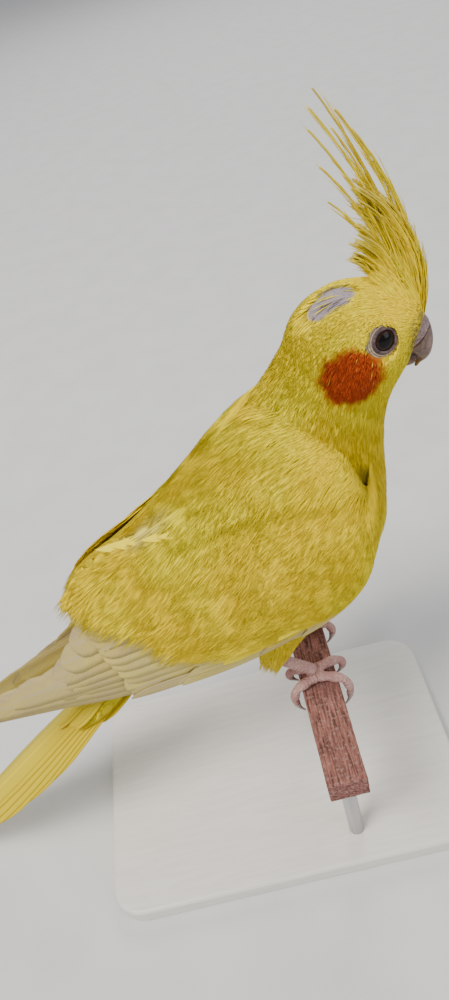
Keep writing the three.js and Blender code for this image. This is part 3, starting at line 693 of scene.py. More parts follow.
def markings_and_painted_shading(tree, looks, tone, reach):
    """The markings of skin and coat: golden yellow, brick-red cheeks, the grey patch behind the crest; with
    painted light towards the back, and painted shade at the tufts' roots and in the shoulder crease.
    """
    place, folded = mirrored_place(tree)
    wander = add_node(tree, "ShaderNodeTexNoise", {"Vector": folded, "Scale": 260.0, "Detail": 3.0})
    shift = add_node(tree, "ShaderNodeVectorMath", {0: wander.outputs["Color"], 1: (-0.5, -0.5, -0.5)},
                     operation="ADD").outputs[0]
    small = add_node(tree, "ShaderNodeVectorMath", {0: shift, "Scale": 0.005}, operation="SCALE").outputs[0]
    loose = add_node(tree, "ShaderNodeVectorMath", {0: folded, 1: small}, operation="ADD").outputs[0]
    parts = add_node(tree, "ShaderNodeSeparateXYZ", {0: place}).outputs
    # Painted light: the coat is blended towards lemon up and back, on the side that the key light falls on
    back = ramp(tree, maths(tree, "ADD", times(tree, parts[0], -0.55), parts[2]),
                PERCH_MIDDLE[2] + 0.09, PERCH_MIDDLE[2] + 0.15, 0.0, 0.35)
    pores = add_node(tree, "ShaderNodeTexVoronoi", {"Vector": place, "Scale": 1250.0}).outputs["Distance"]
    bare = blend_colour(tree, ramp(tree, pores, 0.12, 0.34, 0.75, 0.0), looks.bald, toned(looks.bald, 0.4))
    patches = ramp(tree, speckle(tree, folded, 30.0, 2.0), 0.34, 0.6)
    bald = near(tree, place, BALD, BALD_SIZE, 0.85, 1.1)
    return washed(
        tree, blend_colour(tree, patches, looks.lemon, looks.golden),
        (times(tree, near(tree, folded, *THROAT), 0.45), looks.golden),
        # painted light on the back
        (back, looks.lemon),
        (ramp(tree, tone, 0.55, 1.0, 0.0, 0.15), looks.pale),
        (ramp(tree, tone, 0.45, 0.0, 0.0, 0.16), looks.shade),
        # painted shade at each tuft's root, down among the barbs
        (ramp(tree, reach, 0.0, 0.45, 0.22, 0.0), looks.shade),
        # painted shade in the shoulder crease
        (times(tree, near(tree, folded, *CREASE_SHADE), 0.6), toned(looks.shade, 0.4)),
        (times(tree, near(tree, place, *RUMPLED), ramp(tree, tone, 0.3, 0.7, 0.1, 0.6)), looks.ash),
        (times(tree, near(tree, loose, *FACE), ramp(tree, tone, 0.35, 0.75)), looks.pin),
        (times(tree, near(tree, loose, *CHEEK), ramp(tree, tone, 0.93, 1.0, 1.0, 0.25)), looks.cheek),
        (times(tree, bald, ramp(tree, tone, 0.5, 0.62, 1.0, 0.0)), bare),
    )


def number(tree, name):
    """A number kept on the mesh by name."""
    return add_node(tree, "ShaderNodeAttribute", attribute_name=name).outputs["Fac"]


def plumage_material(looks):
    """Soft yellow body plumage with the bird's markings, and painted light and shade."""
    made, tree, shader = new_material("body_plumage", 0.68, Specular_IOR_Level=0.18)
    colour = markings_and_painted_shading(tree, looks, number(tree, "tone"), number(tree, "reach"))
    paint(tree, shader, colour, speckle(tree, place_on(tree), 2600.0), 0.0002, 0.35)
    return made


def skin_material(looks):
    """Skin under the coat, marked as the coat is."""
    made, tree, shader = new_material("skin_under_feathers", 0.7, Specular_IOR_Level=0.2)
    plain = add_node(tree, "ShaderNodeValue").outputs[0]
    plain.default_value = 0.3
    colour = markings_and_painted_shading(tree, looks, plain, plain)
    paint(tree, shader, colour, speckle(tree, place_on(tree), 1500.0), 0.0003, 0.5)
    return made


def vane_material(name, colours, looks, edge, pale=0.2, line=0.22):
    """A smooth vane: barbs slant from a pale shaft, with a flush of colour along its outer side, and painted
    shade along its edges and towards its root.
    """
    made, tree, shader = new_material(name, 0.58, Specular_IOR_Level=0.2)
    reach, across, tone = number(tree, "reach"), number(tree, "across"), number(tree, "tone")
    side = maths(tree, "ABSOLUTE", across)
    slant = maths(tree, "SUBTRACT", times(tree, reach, 46.0), times(tree, side, 4.5))
    barb_place = add_node(tree, "ShaderNodeCombineXYZ", {
        0: slant, 1: times(tree, side, 0.6), 2: times(tree, tone, 37.0)}).outputs[0]
    barbs = speckle(tree, barb_place, 1.6, 4.0)
    main, flush, shaft = colours
    # A darker flush, used below for the painted shade along the edges and towards the root
    dark = toned(flush, 0.62)
    flushed = times(tree, ramp(tree, speckle(tree, place_on(tree), 90.0, 2.0), 0.3, 0.7), edge)
    outer = ramp(tree, across, 0.0, 1.0, edge, edge * 0.15)
    amount = maths(tree, "ADD", times(tree, flushed, 0.5), times(tree, outer, 0.8))
    colour = washed(
        tree, blend_colour(tree, amount, main, flush),
        (ramp(tree, barbs, 0.4, 0.75, 0.0, 0.35), flush),
        (ramp(tree, tone, 0.0, 1.0, 0.0, pale), looks.pale),
        (ramp(tree, side, 0.14, 0.03, 0.0, 0.5), shaft),
        # painted shade: a dark line along each vane's edges, where the vanes overlap
        (ramp(tree, side, 0.88, 1.0, 0.0, line), dark),
        # painted shade towards the vane's root, under the feathers that lie over it
        (ramp(tree, reach, 0.0, 0.5, 0.3, 0.0), dark),
    )
    paint(tree, shader, colour, barbs, 0.0003, 0.5)
    return made


def lay_shell(name, sections, span, around, along, material, slot, replaces, depth, close):
    """A closed shell stretched from a sphere over a body's or bill's sections."""
    bm = ball(around, along)
    places = {}
    for vertex in bm.verts:
        polar = math.acos(limit(-1.0, 1.0, vertex.co.z)) / math.pi
        places[vertex] = (1 - polar, math.atan2(vertex.co.y, vertex.co.x) % (2 * math.pi))
    share, angle = np.array([places[v] for v in bm.verts]).T
    t = mix(span[0], span[1], share)
    for vertex, point in zip(bm.verts, to_frame(section_point(sections, t, angle, depth(t), close(share)))):
        vertex.co = point
    layer = bm.loops.layers.uv.new("OFBake")
    for face in bm.faces:
        turns = [places[loop.vert][1] for loop in face.loops if 0 < places[loop.vert][0] < 1]
        wrap = bool(turns) and max(turns) - min(turns) > math.pi
        middle = sum(turns) / max(len(turns), 1)
        for loop in face.loops:
            along_share, turn = places[loop.vert]
            if wrap and turn < math.pi:
                turn += 2 * math.pi
            if not 0 < along_share < 1:
                turn = middle
            loop[layer].uv = skin_place(along_share, turn)
    return link_piece(name, mesh_of(bm, name), material, slot, replaces)


def skin_place(share, turn):
    """A place on the skin's unwrap: round the body across, along the body upwards."""
    return (0.02 + 0.9 * turn / (2 * math.pi), 0.02 + 0.96 * share)


def thigh_place(side, share, turn):
    """A place on the skin's unwrap for a thigh, in the strip beside the body's."""
    return (0.94 + 0.03 * (1 + np.sin(turn)) / 2, 0.3 + 0.22 * side + 0.2 * share)


def thigh_ends(side):
    """Hip and heel of one leg."""
    return (np.array([THIGH_TOP[0], side * THIGH_OUT, THIGH_TOP[1]]),
            np.array([HEEL[0], side * FOOT_OUT[side], HEEL[1]]))


def skin_depth(t):
    """How far under the solids' surface the skin lies."""
    return -np.interp(t, *SKIN_DEPTH)


def round_ends(share, first=0.012, last=0.03):
    """Share of a section's full size, falling to a point at both ends of a shell."""
    share = np.asarray(share, float)
    low = np.sqrt(np.clip(1 - (1 - np.clip(share / first, 0, 1)) ** 2, 0, 1))
    high = np.sqrt(np.clip(1 - (1 - np.clip((1 - share) / last, 0, 1)) ** 2, 0, 1))
    return low * high


def copy_node(name, node, material, slot, bevel=0.0, subdivide=0, shade=True):
    """A merged copy of a CAD node, which then stands for it."""
    bm = bmesh.new()
    bm.from_mesh(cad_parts[node].data)
    bmesh.ops.remove_doubles(bm, verts=bm.verts, dist=1e-6)
    if bevel:
        sharp = [e for e in bm.edges if len(e.link_faces) == 2 and e.calc_face_angle() > 0.6]
        round_edges(bm, sharp, bevel, 3)
    if subdivide:
        bmesh.ops.subdivide_edges(bm, edges=bm.edges, cuts=subdivide, use_grid_fill=True, smooth=1.0)
    return link_piece(name, mesh_of(bm, name, shade), material, slot, (node,))


# A colour that the user may change
Colour = partial(FloatVectorProperty, subtype="COLOR")


class CockatielColours(bpy.types.PropertyGroup):
    """Colours of the bird, its batten and its stand"""

    lemon: Colour(name="Lemon", description="Lightest body yellow", default=(0.90, 0.76, 0.006))
    golden: Colour(name="Golden", description="Deeper body yellow", default=(0.89, 0.66, 0.003))
    pale: Colour(name="Pale", description="Cream of feather edges and belly", default=(0.92, 0.84, 0.12))
    # Mustard: the coat's deeper tones, and also the painted shade at the tufts' roots and in the shoulder
    # crease
    shade: Colour(name="Shade", description="Mustard at the feathers' roots", default=(0.66, 0.43, 0.003))
    cheek: Colour(name="Cheek", description="Brick red of the cheek patches", default=(0.46, 0.062, 0.008))
    bald: Colour(name="Bald patch", description="Grey skin behind the crest", default=(0.30, 0.25, 0.27))
    pin: Colour(name="Pins", description="Dark pin feathers round the bill", default=(0.27, 0.20, 0.09))
    # The flight feathers' cream is darkened to the shade they lie in below the lit body: painted shade over
    # their pale colour
    cream: Colour(name="Cream", description="Flight feathers", default=(0.34, 0.265, 0.172))
    ash: Colour(name="Ash", description="Rumpled feathers of the near wing", default=(0.72, 0.65, 0.33))
    horn: Colour(name="Horn", description="Bill and claws", default=(0.16, 0.10, 0.08))
    amber: Colour(name="Amber", description="Translucent tip of the bill", default=(0.24, 0.12, 0.03))
    flesh: Colour(name="Flesh", description="Cere, lids and feet", default=(0.46, 0.22, 0.20))
    batten: Colour(name="Batten", description="Rough-sawn perch", default=(0.17, 0.072, 0.058))
    board: Colour(name="Board", description="Painted base of the stand", default=(0.72, 0.69, 0.63))


class CockatielCoat(bpy.types.PropertyGroup):
    """Numbers and sizes of the feathers"""

    contour_count: IntProperty(name="Contour feathers", description="Broad body feathers",
                               default=5200, min=500)
    hair_count: IntProperty(name="Body barbs", description="Fine barbs over neck and body",
                            default=40000, min=500)
    head_count: IntProperty(name="Head barbs", description="Fine barbs over the head",
                            default=18500, min=500)
    contour_length: FloatProperty(name="Contour length", description="Length of a broad body feather",
                                  default=0.012, unit="LENGTH")
    hair_length: FloatProperty(name="Barb length", description="Length of a fine barb on the body",
                               default=0.0095, unit="LENGTH")
    crest_count: IntProperty(name="Crest feathers", description="Long feathers of the crest",
                             default=30, min=6)


def skin_share(t):
    """Share of the skin's length at a place along the body."""
    return (t - SKIN_SPAN[0]) / (SKIN_SPAN[1] - SKIN_SPAN[0])


def body_roots(t, angle):
    """Places on the skin's unwrap for places on the body."""
    return np.stack(skin_place(skin_share(t), angle), axis=1)


def from_eye(points):
    """Distance in millimetres of points from the nearer eye's outer face."""
    folded = np.array(points)
    folded[:, 1] = np.abs(folded[:, 1])
    return np.linalg.norm(folded - np.array([EYE.x, EYE_FACE, EYE.z]), axis=1)


def from_bald(points):
    """Distance of points from the middle of the bare patch, 1 at its edge."""
    return np.linalg.norm((points - np.array(BALD)) / np.array(BALD_SIZE), axis=-1)


def feathered(t, angle, stray):
    """True where a tuft's root is clear of eye and bill, and its root and middle of the bare patch."""
    at = body_point(t, angle)
    bill = np.linalg.norm((at - np.array(BILL_MIDDLE)) / np.array([1, 1, 1.15]), axis=1)
    bald = np.min([from_bald(body_point(t - step, angle)) for step in (0.0, 0.3, 0.6)], axis=0)
    thin = np.random.default_rng(8).uniform(0, 1, len(t)) < stray
    return (from_eye(at) > EYE_CLEAR) & (bill > BILL_CLEAR) & ((bald > 1.0) | thin)


def sized(size, t):
    """A size that is one number, or a function of the place along the body."""
    return size(t) if callable(size) else size


def body_rows(t):
    """Rows of feathers counted towards the tail, and the length of a row in millimetres."""
    knots = np.linspace(-0.2, BODY_END + 0.4, 120)
    middle = (body_point(knots, 0.0) + body_point(knots, math.pi)) / 2
    row = np.interp(knots, *ROW_LENGTH)
    steps = np.linalg.norm(np.diff(middle, axis=0), axis=1) / row[1:]
    counted = np.concatenate([[0], np.cumsum(steps)])
    return -np.interp(t, knots, counted), np.interp(t, knots, row)


def lay_body_coat(name, span, count, seed, length, half, rise, thick, shape, material, wander, patch=5.0,
                  scatter=0.12, lap=0.0):
    """A coat piece over a stretch of the body, bare under the wings; the lap gathers tufts into feathers."""
    rng = np.random.default_rng(seed)
    t, angle = spread(body_point, span, (0, 2 * math.pi), count, seed)
    keep = feathered(t, angle, 0.03 if sized(half, 12.0) < 0.3 else 0.0)
    from_back = np.minimum(angle, 2 * math.pi - angle)
    keep &= (t < UNDER_WINGS[0]) | (t > UNDER_WINGS[1]) | (from_back < UNDER_WINGS_TURN[0]) | (
        from_back > UNDER_WINGS_TURN[1])
    t, angle = t[keep], angle[keep]
    kept = len(t)
    at = body_point(t, angle)
    phase, row = body_rows(t)
    along, aside, feather = laps(phase + 0.25 * waves(at, 14.0, 6), angle / (2 * math.pi) * BODY_COLUMNS)
    share = lap * np.interp(t, [0, 7, 9.5, 12], [1.0, 1.0, 0.55, 0.0])
    lengths = sized(length, t) * rng.uniform(0.8, 1.2, kept)
    ends = np.maximum((1.04 - along + rng.uniform(0, 0.14, kept)) * row, 0.3 * row)
    lengths = mix(lengths, np.minimum(lengths, ends), np.minimum(1, share * 1.4))
    lengths = np.minimum(lengths, np.maximum(1.2, from_eye(at) - 4.4))
    widths = sized(half, t) * rng.uniform(0.85, 1.15, kept)
    turn = wander * (1.6 * waves(at, 9.0, 1) + 0.45 * rng.normal(0, 1, kept)) + 0.42 * aside * share
    lift = 0.36 * waves(at, 7.0, 2) * (1 - 0.5 * share) + rng.uniform(-0.12, 0.2, kept)
    tip = np.minimum(1, along + lengths / row)
    sunk = 0.35 * aside ** 2 * share
    rises = (skin_depth(t) + rise[0] + 0.75 * share * along, rise[1] + lift + share * (tip - 0.55) - sunk)
    tone = tones(at, rng, patch, scatter) + share * (0.35 * (feather - 0.5) + 0.1 * (np.abs(aside) < 0.1))
    return lay_coat(name, body_point, t, angle, shape, lengths, widths, rises, turn, thick,
                    body_roots(t, angle), np.clip(tone, 0, 1), material, toward=-1.0)


class COCKATIEL_OT_stage(bpy.types.Operator):
    """Set up the pale floor, the soft lights and the camera"""

    bl_idname = "cockatiel.stage"
    bl_label = "Stage"

    def execute(self, context):
        bm = bmesh.new()
        bmesh.ops.create_grid(bm, x_segments=1, y_segments=1, size=40.0)
        mesh = bpy.data.meshes.new("floor")
        bm.to_mesh(mesh)
        bm.free()
        made, tree, shader = new_material("pale_floor", 0.9)
        grain = ramp(tree, speckle(tree, place_on(tree), 30.0), 0.3, 0.7)
        paint(tree, shader, blend_colour(tree, grain, (0.60, 0.60, 0.59), (0.63, 0.63, 0.62)))
        mesh.materials.append(made)
        floor = new_object("floor", mesh)
        for name, place, size, power, colour in LIGHTS:
            data = bpy.data.lights.new(name, "AREA")
            data.size, data.energy, data.color = size, power, colour
            light = new_object(name, data)
            light.location = place
            light.rotation_mode = "QUATERNION"
            light.rotation_quaternion = (Vector(LIT_MIDDLE) - Vector(place)).to_track_quat("-Z", "Y")
        world = bpy.data.worlds.new("soft_light")
        world.use_nodes = True
        sky = world.node_tree.nodes["Background"].inputs
        sky[0].default_value, sky[1].default_value = SKY, SKY_STRENGTH
        context.scene.world = world
        camera_data = bpy.data.cameras.new("camera")
        camera_data.sensor_width, camera_data.lens = 36.0, CAMERA_LENS
        camera_data.clip_start, camera_data.clip_end = 0.01, 20.0
        camera = new_object("camera", camera_data)
        right, up = Vector(CAMERA_RIGHT).normalized(), Vector(CAMERA_UP)
        back = right.cross(up).normalized()
        up = back.cross(right)
        turned = Matrix((right, up, back)).transposed().to_4x4()
        camera.matrix_world = Matrix.Translation(CAMERA_PLACE) @ turned
        context.scene.camera = camera
        return {"FINISHED"}


class COCKATIEL_OT_skin(bpy.types.Operator):
    """Lay one skin under the coat of head, neck, body and thighs"""

    bl_idname = "cockatiel.skin"
    bl_label = "Skin"

    def execute(self, context):
        material = skin_material(context.scene.cockatiel_colours)
        skin = lay_shell("skin", BODY, SKIN_SPAN, 72, 150, material, "yellow_feathers",
                         ("head", "neck", "torso", "thigh_left", "thigh_right"), skin_depth, round_ends)
        for vertex in skin.data.vertices:
            at = (np.array(vertex.co) - PERCH_MIDDLE) / MM
            side = 1 if at[1] > 0 else -1
            away = (Vector(at) - Vector((EYE.x, side * EYE_SOCKET, EYE.z))).length
            bare = from_bald(at)
            if bare < 1.25:
                vertex.co += Vector((0.25, -0.15, 0.95)) * 0.75 * MM * min(1, (1.25 - bare) * 2.2)
            if away < 7:
                sink = 1.5 * (1 - away / 7) ** 2 + 0.6 * (1 - away / 7)
                vertex.co.y -= side * sink * MM
        self.join_thighs(skin)
        return {"FINISHED"}

    def join_thighs(self, skin):
        """Grows the skin over both thighs, so that it is one surface."""
        thighs = []
        for side, name in SIDES:
            hip, heel = thigh_ends(side)
            along = directions(heel - hip)[0]
            bm = bmesh.new()
            limb_mesh(bm, lambda t: mix(hip, heel, t * 0.97), lambda t: mix(9.0, 5.0, t ** 0.8) - 1.2,
                      30, 32)
            layer = bm.loops.layers.uv.new("OFBake")
            share = bm.verts.layers.float["reach"]
            for face in bm.faces:
                for loop in face.loops:
                    off = (np.array(loop.vert.co) - PERCH_MIDDLE) / MM - hip
                    off -= along * np.dot(off, along)
                    loop[layer].uv = thigh_place(side, loop.vert[share], math.atan2(off[0], off[1]))
            mesh = mesh_of(bm, f"thigh_{name}")
            mesh.attributes.remove(mesh.attributes["reach"])
            thigh = new_object(f"thigh_{name}", mesh)
            join = skin.modifiers.new(f"thigh_{name}", "BOOLEAN")
            join.operation, join.solver, join.object = "UNION", "EXACT", thigh
            thighs.append(thigh)
        bpy.context.view_layer.update()
        joined = bpy.data.meshes.new_from_object(skin.evaluated_get(bpy.context.evaluated_depsgraph_get()))
        skin.modifiers.clear()
        plain, skin.data = skin.data, joined
        bpy.data.meshes.remove(plain)
        joined.name = "skin"
        for thigh in thighs:
            bpy.data.objects.remove(thigh)
        smooth_faces(joined)


class COCKATIEL_OT_plumage(bpy.types.Operator):
    """Cover head, neck and body with feathers and fine barbs"""

    bl_idname = "cockatiel.plumage"
    bl_label = "Body plumage"

    def execute(self, context):
        coat = context.scene.cockatiel_coat
        material = plumage_material(context.scene.cockatiel_colours)
        length, hair = coat.contour_length / MM, coat.hair_length / MM
        lay_body_coat("contour_feathers", (0.0, NAPE), coat.contour_count, 3, length, 3.1, (0.1, -0.5), 0.14,
                      BROAD_TUFT, material, 0.14, 7.0, 0.05)
        for i, (label, span) in enumerate(BARB_SPANS):
            lay_body_coat(f"barbs_{label}", span, coat.hair_count // 4, 5 + i, hair, 0.17, (0.8, 0.25), 0.13,
                          FINE_TUFT, material, 0.2, scatter=0.2, lap=0.22)
        lay_body_coat("loose_barbs", (0.4, 5.0), LOOSE_COUNT, 12, 15.0, 0.2, (0.8, 1.5), 0.14,
                      BROAD_TUFT[:3], material, 0.4)

        def length_here(t):
            return np.interp(t, *HEAD_BARB_LENGTH)

        def half_here(t):
            return np.interp(t, *HEAD_BARB_HALF)

        lay_body_coat("head_feathers", (9.0, 15.6), coat.head_count // 6, 9, lambda t: length_here(t) * 0.9,
                      lambda t: half_here(t) * 7, (0.1, -0.1), 0.14, BROAD_TUFT[:3], material, 0.12, 6.0,
                      0.05)
        lay_body_coat("head_barbs", (9.0, 16.1), coat.head_count, 10, length_here, half_here, (0.6, 0.1),
                      0.12, FINE_TUFT, material, 0.2, 4.0, 0.16)
        return {"FINISHED"}


class COCKATIEL_OT_eyes(bpy.types.Operator):
    """Set in the eyes with their lids and wrinkled rings"""

    bl_idname = "cockatiel.eyes"
    bl_label = "Eyes"

    def execute(self, context):
        glossy, wrinkled = self.ball_material(), self.lid_material()
        for side, name in SIDES:
            look = (Matrix.Rotation(math.radians(-EYE_TURN[0]), 4, "Z")
                    @ Matrix.Rotation(math.radians(EYE_TURN[1]), 4, "X"))
            mirror = Matrix.Diagonal((1, side, 1, 1))
            place = Matrix.Translation(Vector((EYE.x, side * EYE.y, EYE.z))) @ mirror @ look
            bm = ball(48, 32, EYE_RADIUS)
            bmesh.ops.rotate(bm, verts=bm.verts, matrix=Matrix.Rotation(math.radians(-90), 3, "X"))
            self.finish(bm, f"eye_{name}_ball", place, glossy, "eye", (f"eye_{name}",),
                        lambda co: math.hypot(co.x, co.z) / EYE_RADIUS)
            self.finish(self.lid_rings(), f"eye_{name}_lids", place, wrinkled, "bare_skin", (),
                        lambda co: (math.hypot(co.x, co.z) - LID_START) / LID_BREADTH, solid=0.35)
        return {"FINISHED"}

    def ball_material(self):
        """The glossy eye: a black pupil in a brown iris, dark again towards the lids."""
        made, tree, shader = new_material("eye", 0.04, IOR=1.36, Specular_IOR_Level=0.3)
        facing = number(tree, "reach")
        fleck = ramp(tree, speckle(tree, place_on(tree), 2400.0), 0.35, 0.7)
        iris = blend_colour(tree, fleck, (0.030, 0.011, 0.006), (0.014, 0.006, 0.004))
        colour = blend_colour(tree, ramp(tree, facing, 0.48, 0.53), (0.003, 0.002, 0.002), iris)
        paint(tree, shader, blend_colour(tree, ramp(tree, facing, 0.66, 0.74), colour, (0.01, 0.006, 0.006)))
        return made

    def lid_material(self):
        """Bare wrinkled skin, dark along the lids' edge and cream further out."""
        made, tree, shader = new_material("bare_eye_ring", 0.65, Specular_IOR_Level=0.2)
        crease = speckle(tree, place_on(tree), 900.0, 4.0)
        reach = number(tree, "reach")
        folds = maths(tree, "SINE", times(tree, reach, 38.0))
        wrinkled = blend_colour(tree, ramp(tree, folds, -0.2, 0.6), (0.24, 0.17, 0.12), (0.60, 0.49, 0.28))
        colour = blend_colour(tree, ramp(tree, reach, 0.27, 0.40), (0.065, 0.042, 0.046), wrinkled)
        colour = blend_colour(tree, ramp(tree, crease, 0.35, 0.6, 0.45, 0.0), colour, (0.22, 0.16, 0.15))
        paint(tree, shader, colour, crease, 0.0002, 0.6)
        return made

    def lid_rings(self):
        """Both lids and the rings round them, spun from their profile and wrinkled."""
        bm = bmesh.new()
        verts = [bm.verts.new((r, out, 0)) for r, out in LID_PROFILE]
        edges = [bm.edges.new(pair) for pair in zip(verts, verts[1:])]
        bmesh.ops.spin(bm, geom=verts + edges, cent=(0, 0, 0), axis=(0, 1, 0), angle=2 * math.pi, steps=72,
                       use_merge=True)
        for vertex in bm.verts:
            turn = math.atan2(vertex.co.z, vertex.co.x)
            radius = math.hypot(vertex.co.x, vertex.co.z)
            ripple = 0.10 * math.sin(turn * 23 + 2.1 * math.sin(turn * 3)) * limit(0.0, 1.0, radius - 3.4)
            wander = 0.09 * math.sin(turn * 5 + radius) + 0.06 * math.sin(turn * 11 - 2 * radius)
            wider = 1 + wander * max(0.0, radius - 3.6) / radius
            vertex.co.y += ripple
            vertex.co.x *= wider
            vertex.co.z *= wider
            if radius > 3.9:
                vertex.co.x *= 1 + 0.09 * (radius - 3.9) * (1 if vertex.co.x < 0 else 0.1)
        return bm

    def finish(self, bm, name, place, material, slot, replaces, measure, solid=0.0):
        """Stores a measure on the points, then places the piece."""
        bmesh.ops.recalc_face_normals(bm, faces=bm.faces)
        layer = bm.verts.layers.float.new("reach")
        for vertex in bm.verts:
            vertex[layer] = measure(vertex.co)
        if solid:
            bmesh.ops.solidify(bm, geom=bm.faces, thickness=solid)
        bmesh.ops.transform(bm, matrix=place, verts=bm.verts)
        bmesh.ops.scale(bm, vec=(MM, MM, MM), verts=bm.verts)
        bmesh.ops.translate(bm, vec=Vector(PERCH_MIDDLE), verts=bm.verts)
        return link_piece(name, mesh_of(bm, name), material, slot, replaces)


class COCKATIEL_OT_bill(bpy.types.Operator):
    """Build the fleshy cere and both halves of the horny bill"""

    bl_idname = "cockatiel.bill"
    bl_label = "Bill"

    def execute(self, context):
        horn = self.horn(context.scene.cockatiel_colours)
        cere = lay_shell("bill_cere", UPPER_BILL, (0.0, CERE_END), 56, 40, self.flesh(), "bare_skin",
                         ("cere",), lambda t: 0 * t + 0.1, lambda s: round_ends(s, 0.02, 0.12))
        for vertex in cere.data.vertices:
            at = Vector((np.array(vertex.co) - PERCH_MIDDLE) / MM)
            pit_place = Vector((NOSTRIL.x, math.copysign(NOSTRIL.y, at.y), NOSTRIL.z))
            away = (at - pit_place).length
            if away < 1.6:
                dip = 1.1 * max(0.0, 1 - away / 0.95) - 0.18 * math.exp(-((away - 1.15) / 0.3) ** 2)
                inward = (Vector((48, 0, 131)) - at).normalized()
                vertex.co += inward * dip * MM
        lay_shell("bill_upper_half", UPPER_BILL, (CERE_END - 0.12, 6.0), 56, 84, horn, "horn",
                  ("bill_upper",), lambda t: 0 * t, lambda s: round_ends(s, 0.03, 0.05))
        lay_shell("bill_lower_half", LOWER_BILL, (0.0, 3.0), 48, 48, horn, "horn", ("bill_lower",),
                  lambda t: 0 * t, lambda s: round_ends(s, 0.03, 0.08))
        # Painted shade: the inside of the mouth is made nearly black, as it shows in the gap between the
        # bill's halves
        dark, tree, shader = new_material("mouth_inside", 0.5)
        fleck = speckle(tree, place_on(tree), 900.0)
        paint(tree, shader, blend_colour(tree, fleck, (0.05, 0.025, 0.025), (0.10, 0.05, 0.045)))
        bm = ball(32, 20)
        for vertex in bm.verts:
            vertex.co = Vector(to_frame(np.array(vertex.co) * MOUTH_SIZE + MOUTH_MIDDLE))
        link_piece("bill_mouth", mesh_of(bm, "bill_mouth"), dark, "horn")
        return {"FINISHED"}

    def flesh(self):
        """The cere's flesh, with pores, and painted shade in the nostrils."""
        made, tree, shader = new_material("cere_flesh", 0.5, Subsurface_Weight=0.15, Subsurface_Scale=0.002)
        pores = speckle(tree, place_on(tree), 1400.0, 4.0)
        # Painted shade: the nostrils are made nearly black, as shade inside their pits
        nostril_shade = near(tree, mirrored_place(tree)[1], tuple(NOSTRIL), (0.9, 0.9, 0.9), 0.5, 1.1)
        colour = blend_colour(tree, ramp(tree, pores, 0.3, 0.7), (0.17, 0.11, 0.105), (0.33, 0.225, 0.22))
        paint(tree, shader, blend_colour(tree, nostril_shade, colour, (0.05, 0.03, 0.03)), pores, 0.0002, 0.6)
        return made

    def horn(self, looks):
        """Horn with growth lines, amber towards the bill's tip."""
        made, tree, shader = new_material("horn", 0.46, Specular_IOR_Level=0.35)
        place = place_on(tree)
        grain = speckle(tree, stretched(tree, place, (1.0, 2.5, 0.5)), 900.0, 5.0)
        worn = speckle(tree, place, 420.0, 5.0)
        height = add_node(tree, "ShaderNodeSeparateXYZ", {0: place}).outputs[2]
        tip = ramp(tree, height, PERCH_MIDDLE[2] + 0.1245, PERCH_MIDDLE[2] + 0.1205)
        colour = washed(
            tree, blend_colour(tree, tip, looks.horn, looks.amber),
            (ramp(tree, grain, 0.58, 0.36, 0.0, 0.85), toned(looks.horn, 0.6)),
            (ramp(tree, worn, 0.5, 0.68, 0.0, 0.6), toned(looks.horn, 1.9)),
        )
        paint(tree, shader, colour, maths(tree, "ADD", grain, worn), 0.0002, 0.5)
        return made


# Lengths and backward leans of the crest's feathers from front to rear
CREST_LENGTHS = (27, 32, 33, 30, 25, 19, 13, 9)
CREST_LEANS = (16, 18, 20, 22, 25, 29, 34, 38)
# The longest plumes: share from front to rear, length, lean and bow
CREST_PLUMES = (
    (0.10, 40, 15.5, 0.09),
    (0.17, 47, 16.5, 0.075),
    (0.24, 52, 18.0, 0.065),
    (0.33, 57, 19.6, 0.05),
    (0.40, 47, 19.5, 0.05),
    (0.46, 53, 21.5, 0.05),
    (0.54, 48, 23.5, 0.05),
    (0.62, 38, 25.5, 0.06),
    (0.72, 28, 29.0, 0.07),
)
CREST_ROOTS = ((53, 139.5), (50.4, 144.8), (40.5, 148.2))
CREST_BOW = 0.115


def crest_line(f, way, length, lean, s, bow=CREST_BOW):
    """Points along one crest feather: f is its root from front to rear, way its side."""
    root = curve(*(np.array(p, float) for p in CREST_ROOTS), f)
    start = np.array([root[0], way * 2.0, root[1] - 1.6])
    lean = math.radians(lean)
    rise = np.array([-math.sin(lean), 0, math.cos(lean)])
    ahead = np.array([math.cos(lean), 0, math.sin(lean)])
    end = start + rise * (length + 3)
    end[1] = way * 3.0
    bend = (start + end) / 2 + ahead * (length + 3) * bow * 2
    start = start - rise * 2.6 - ahead * 1.3
    return curve(start, bend, end, np.asarray(s, float)[..., None]), ahead


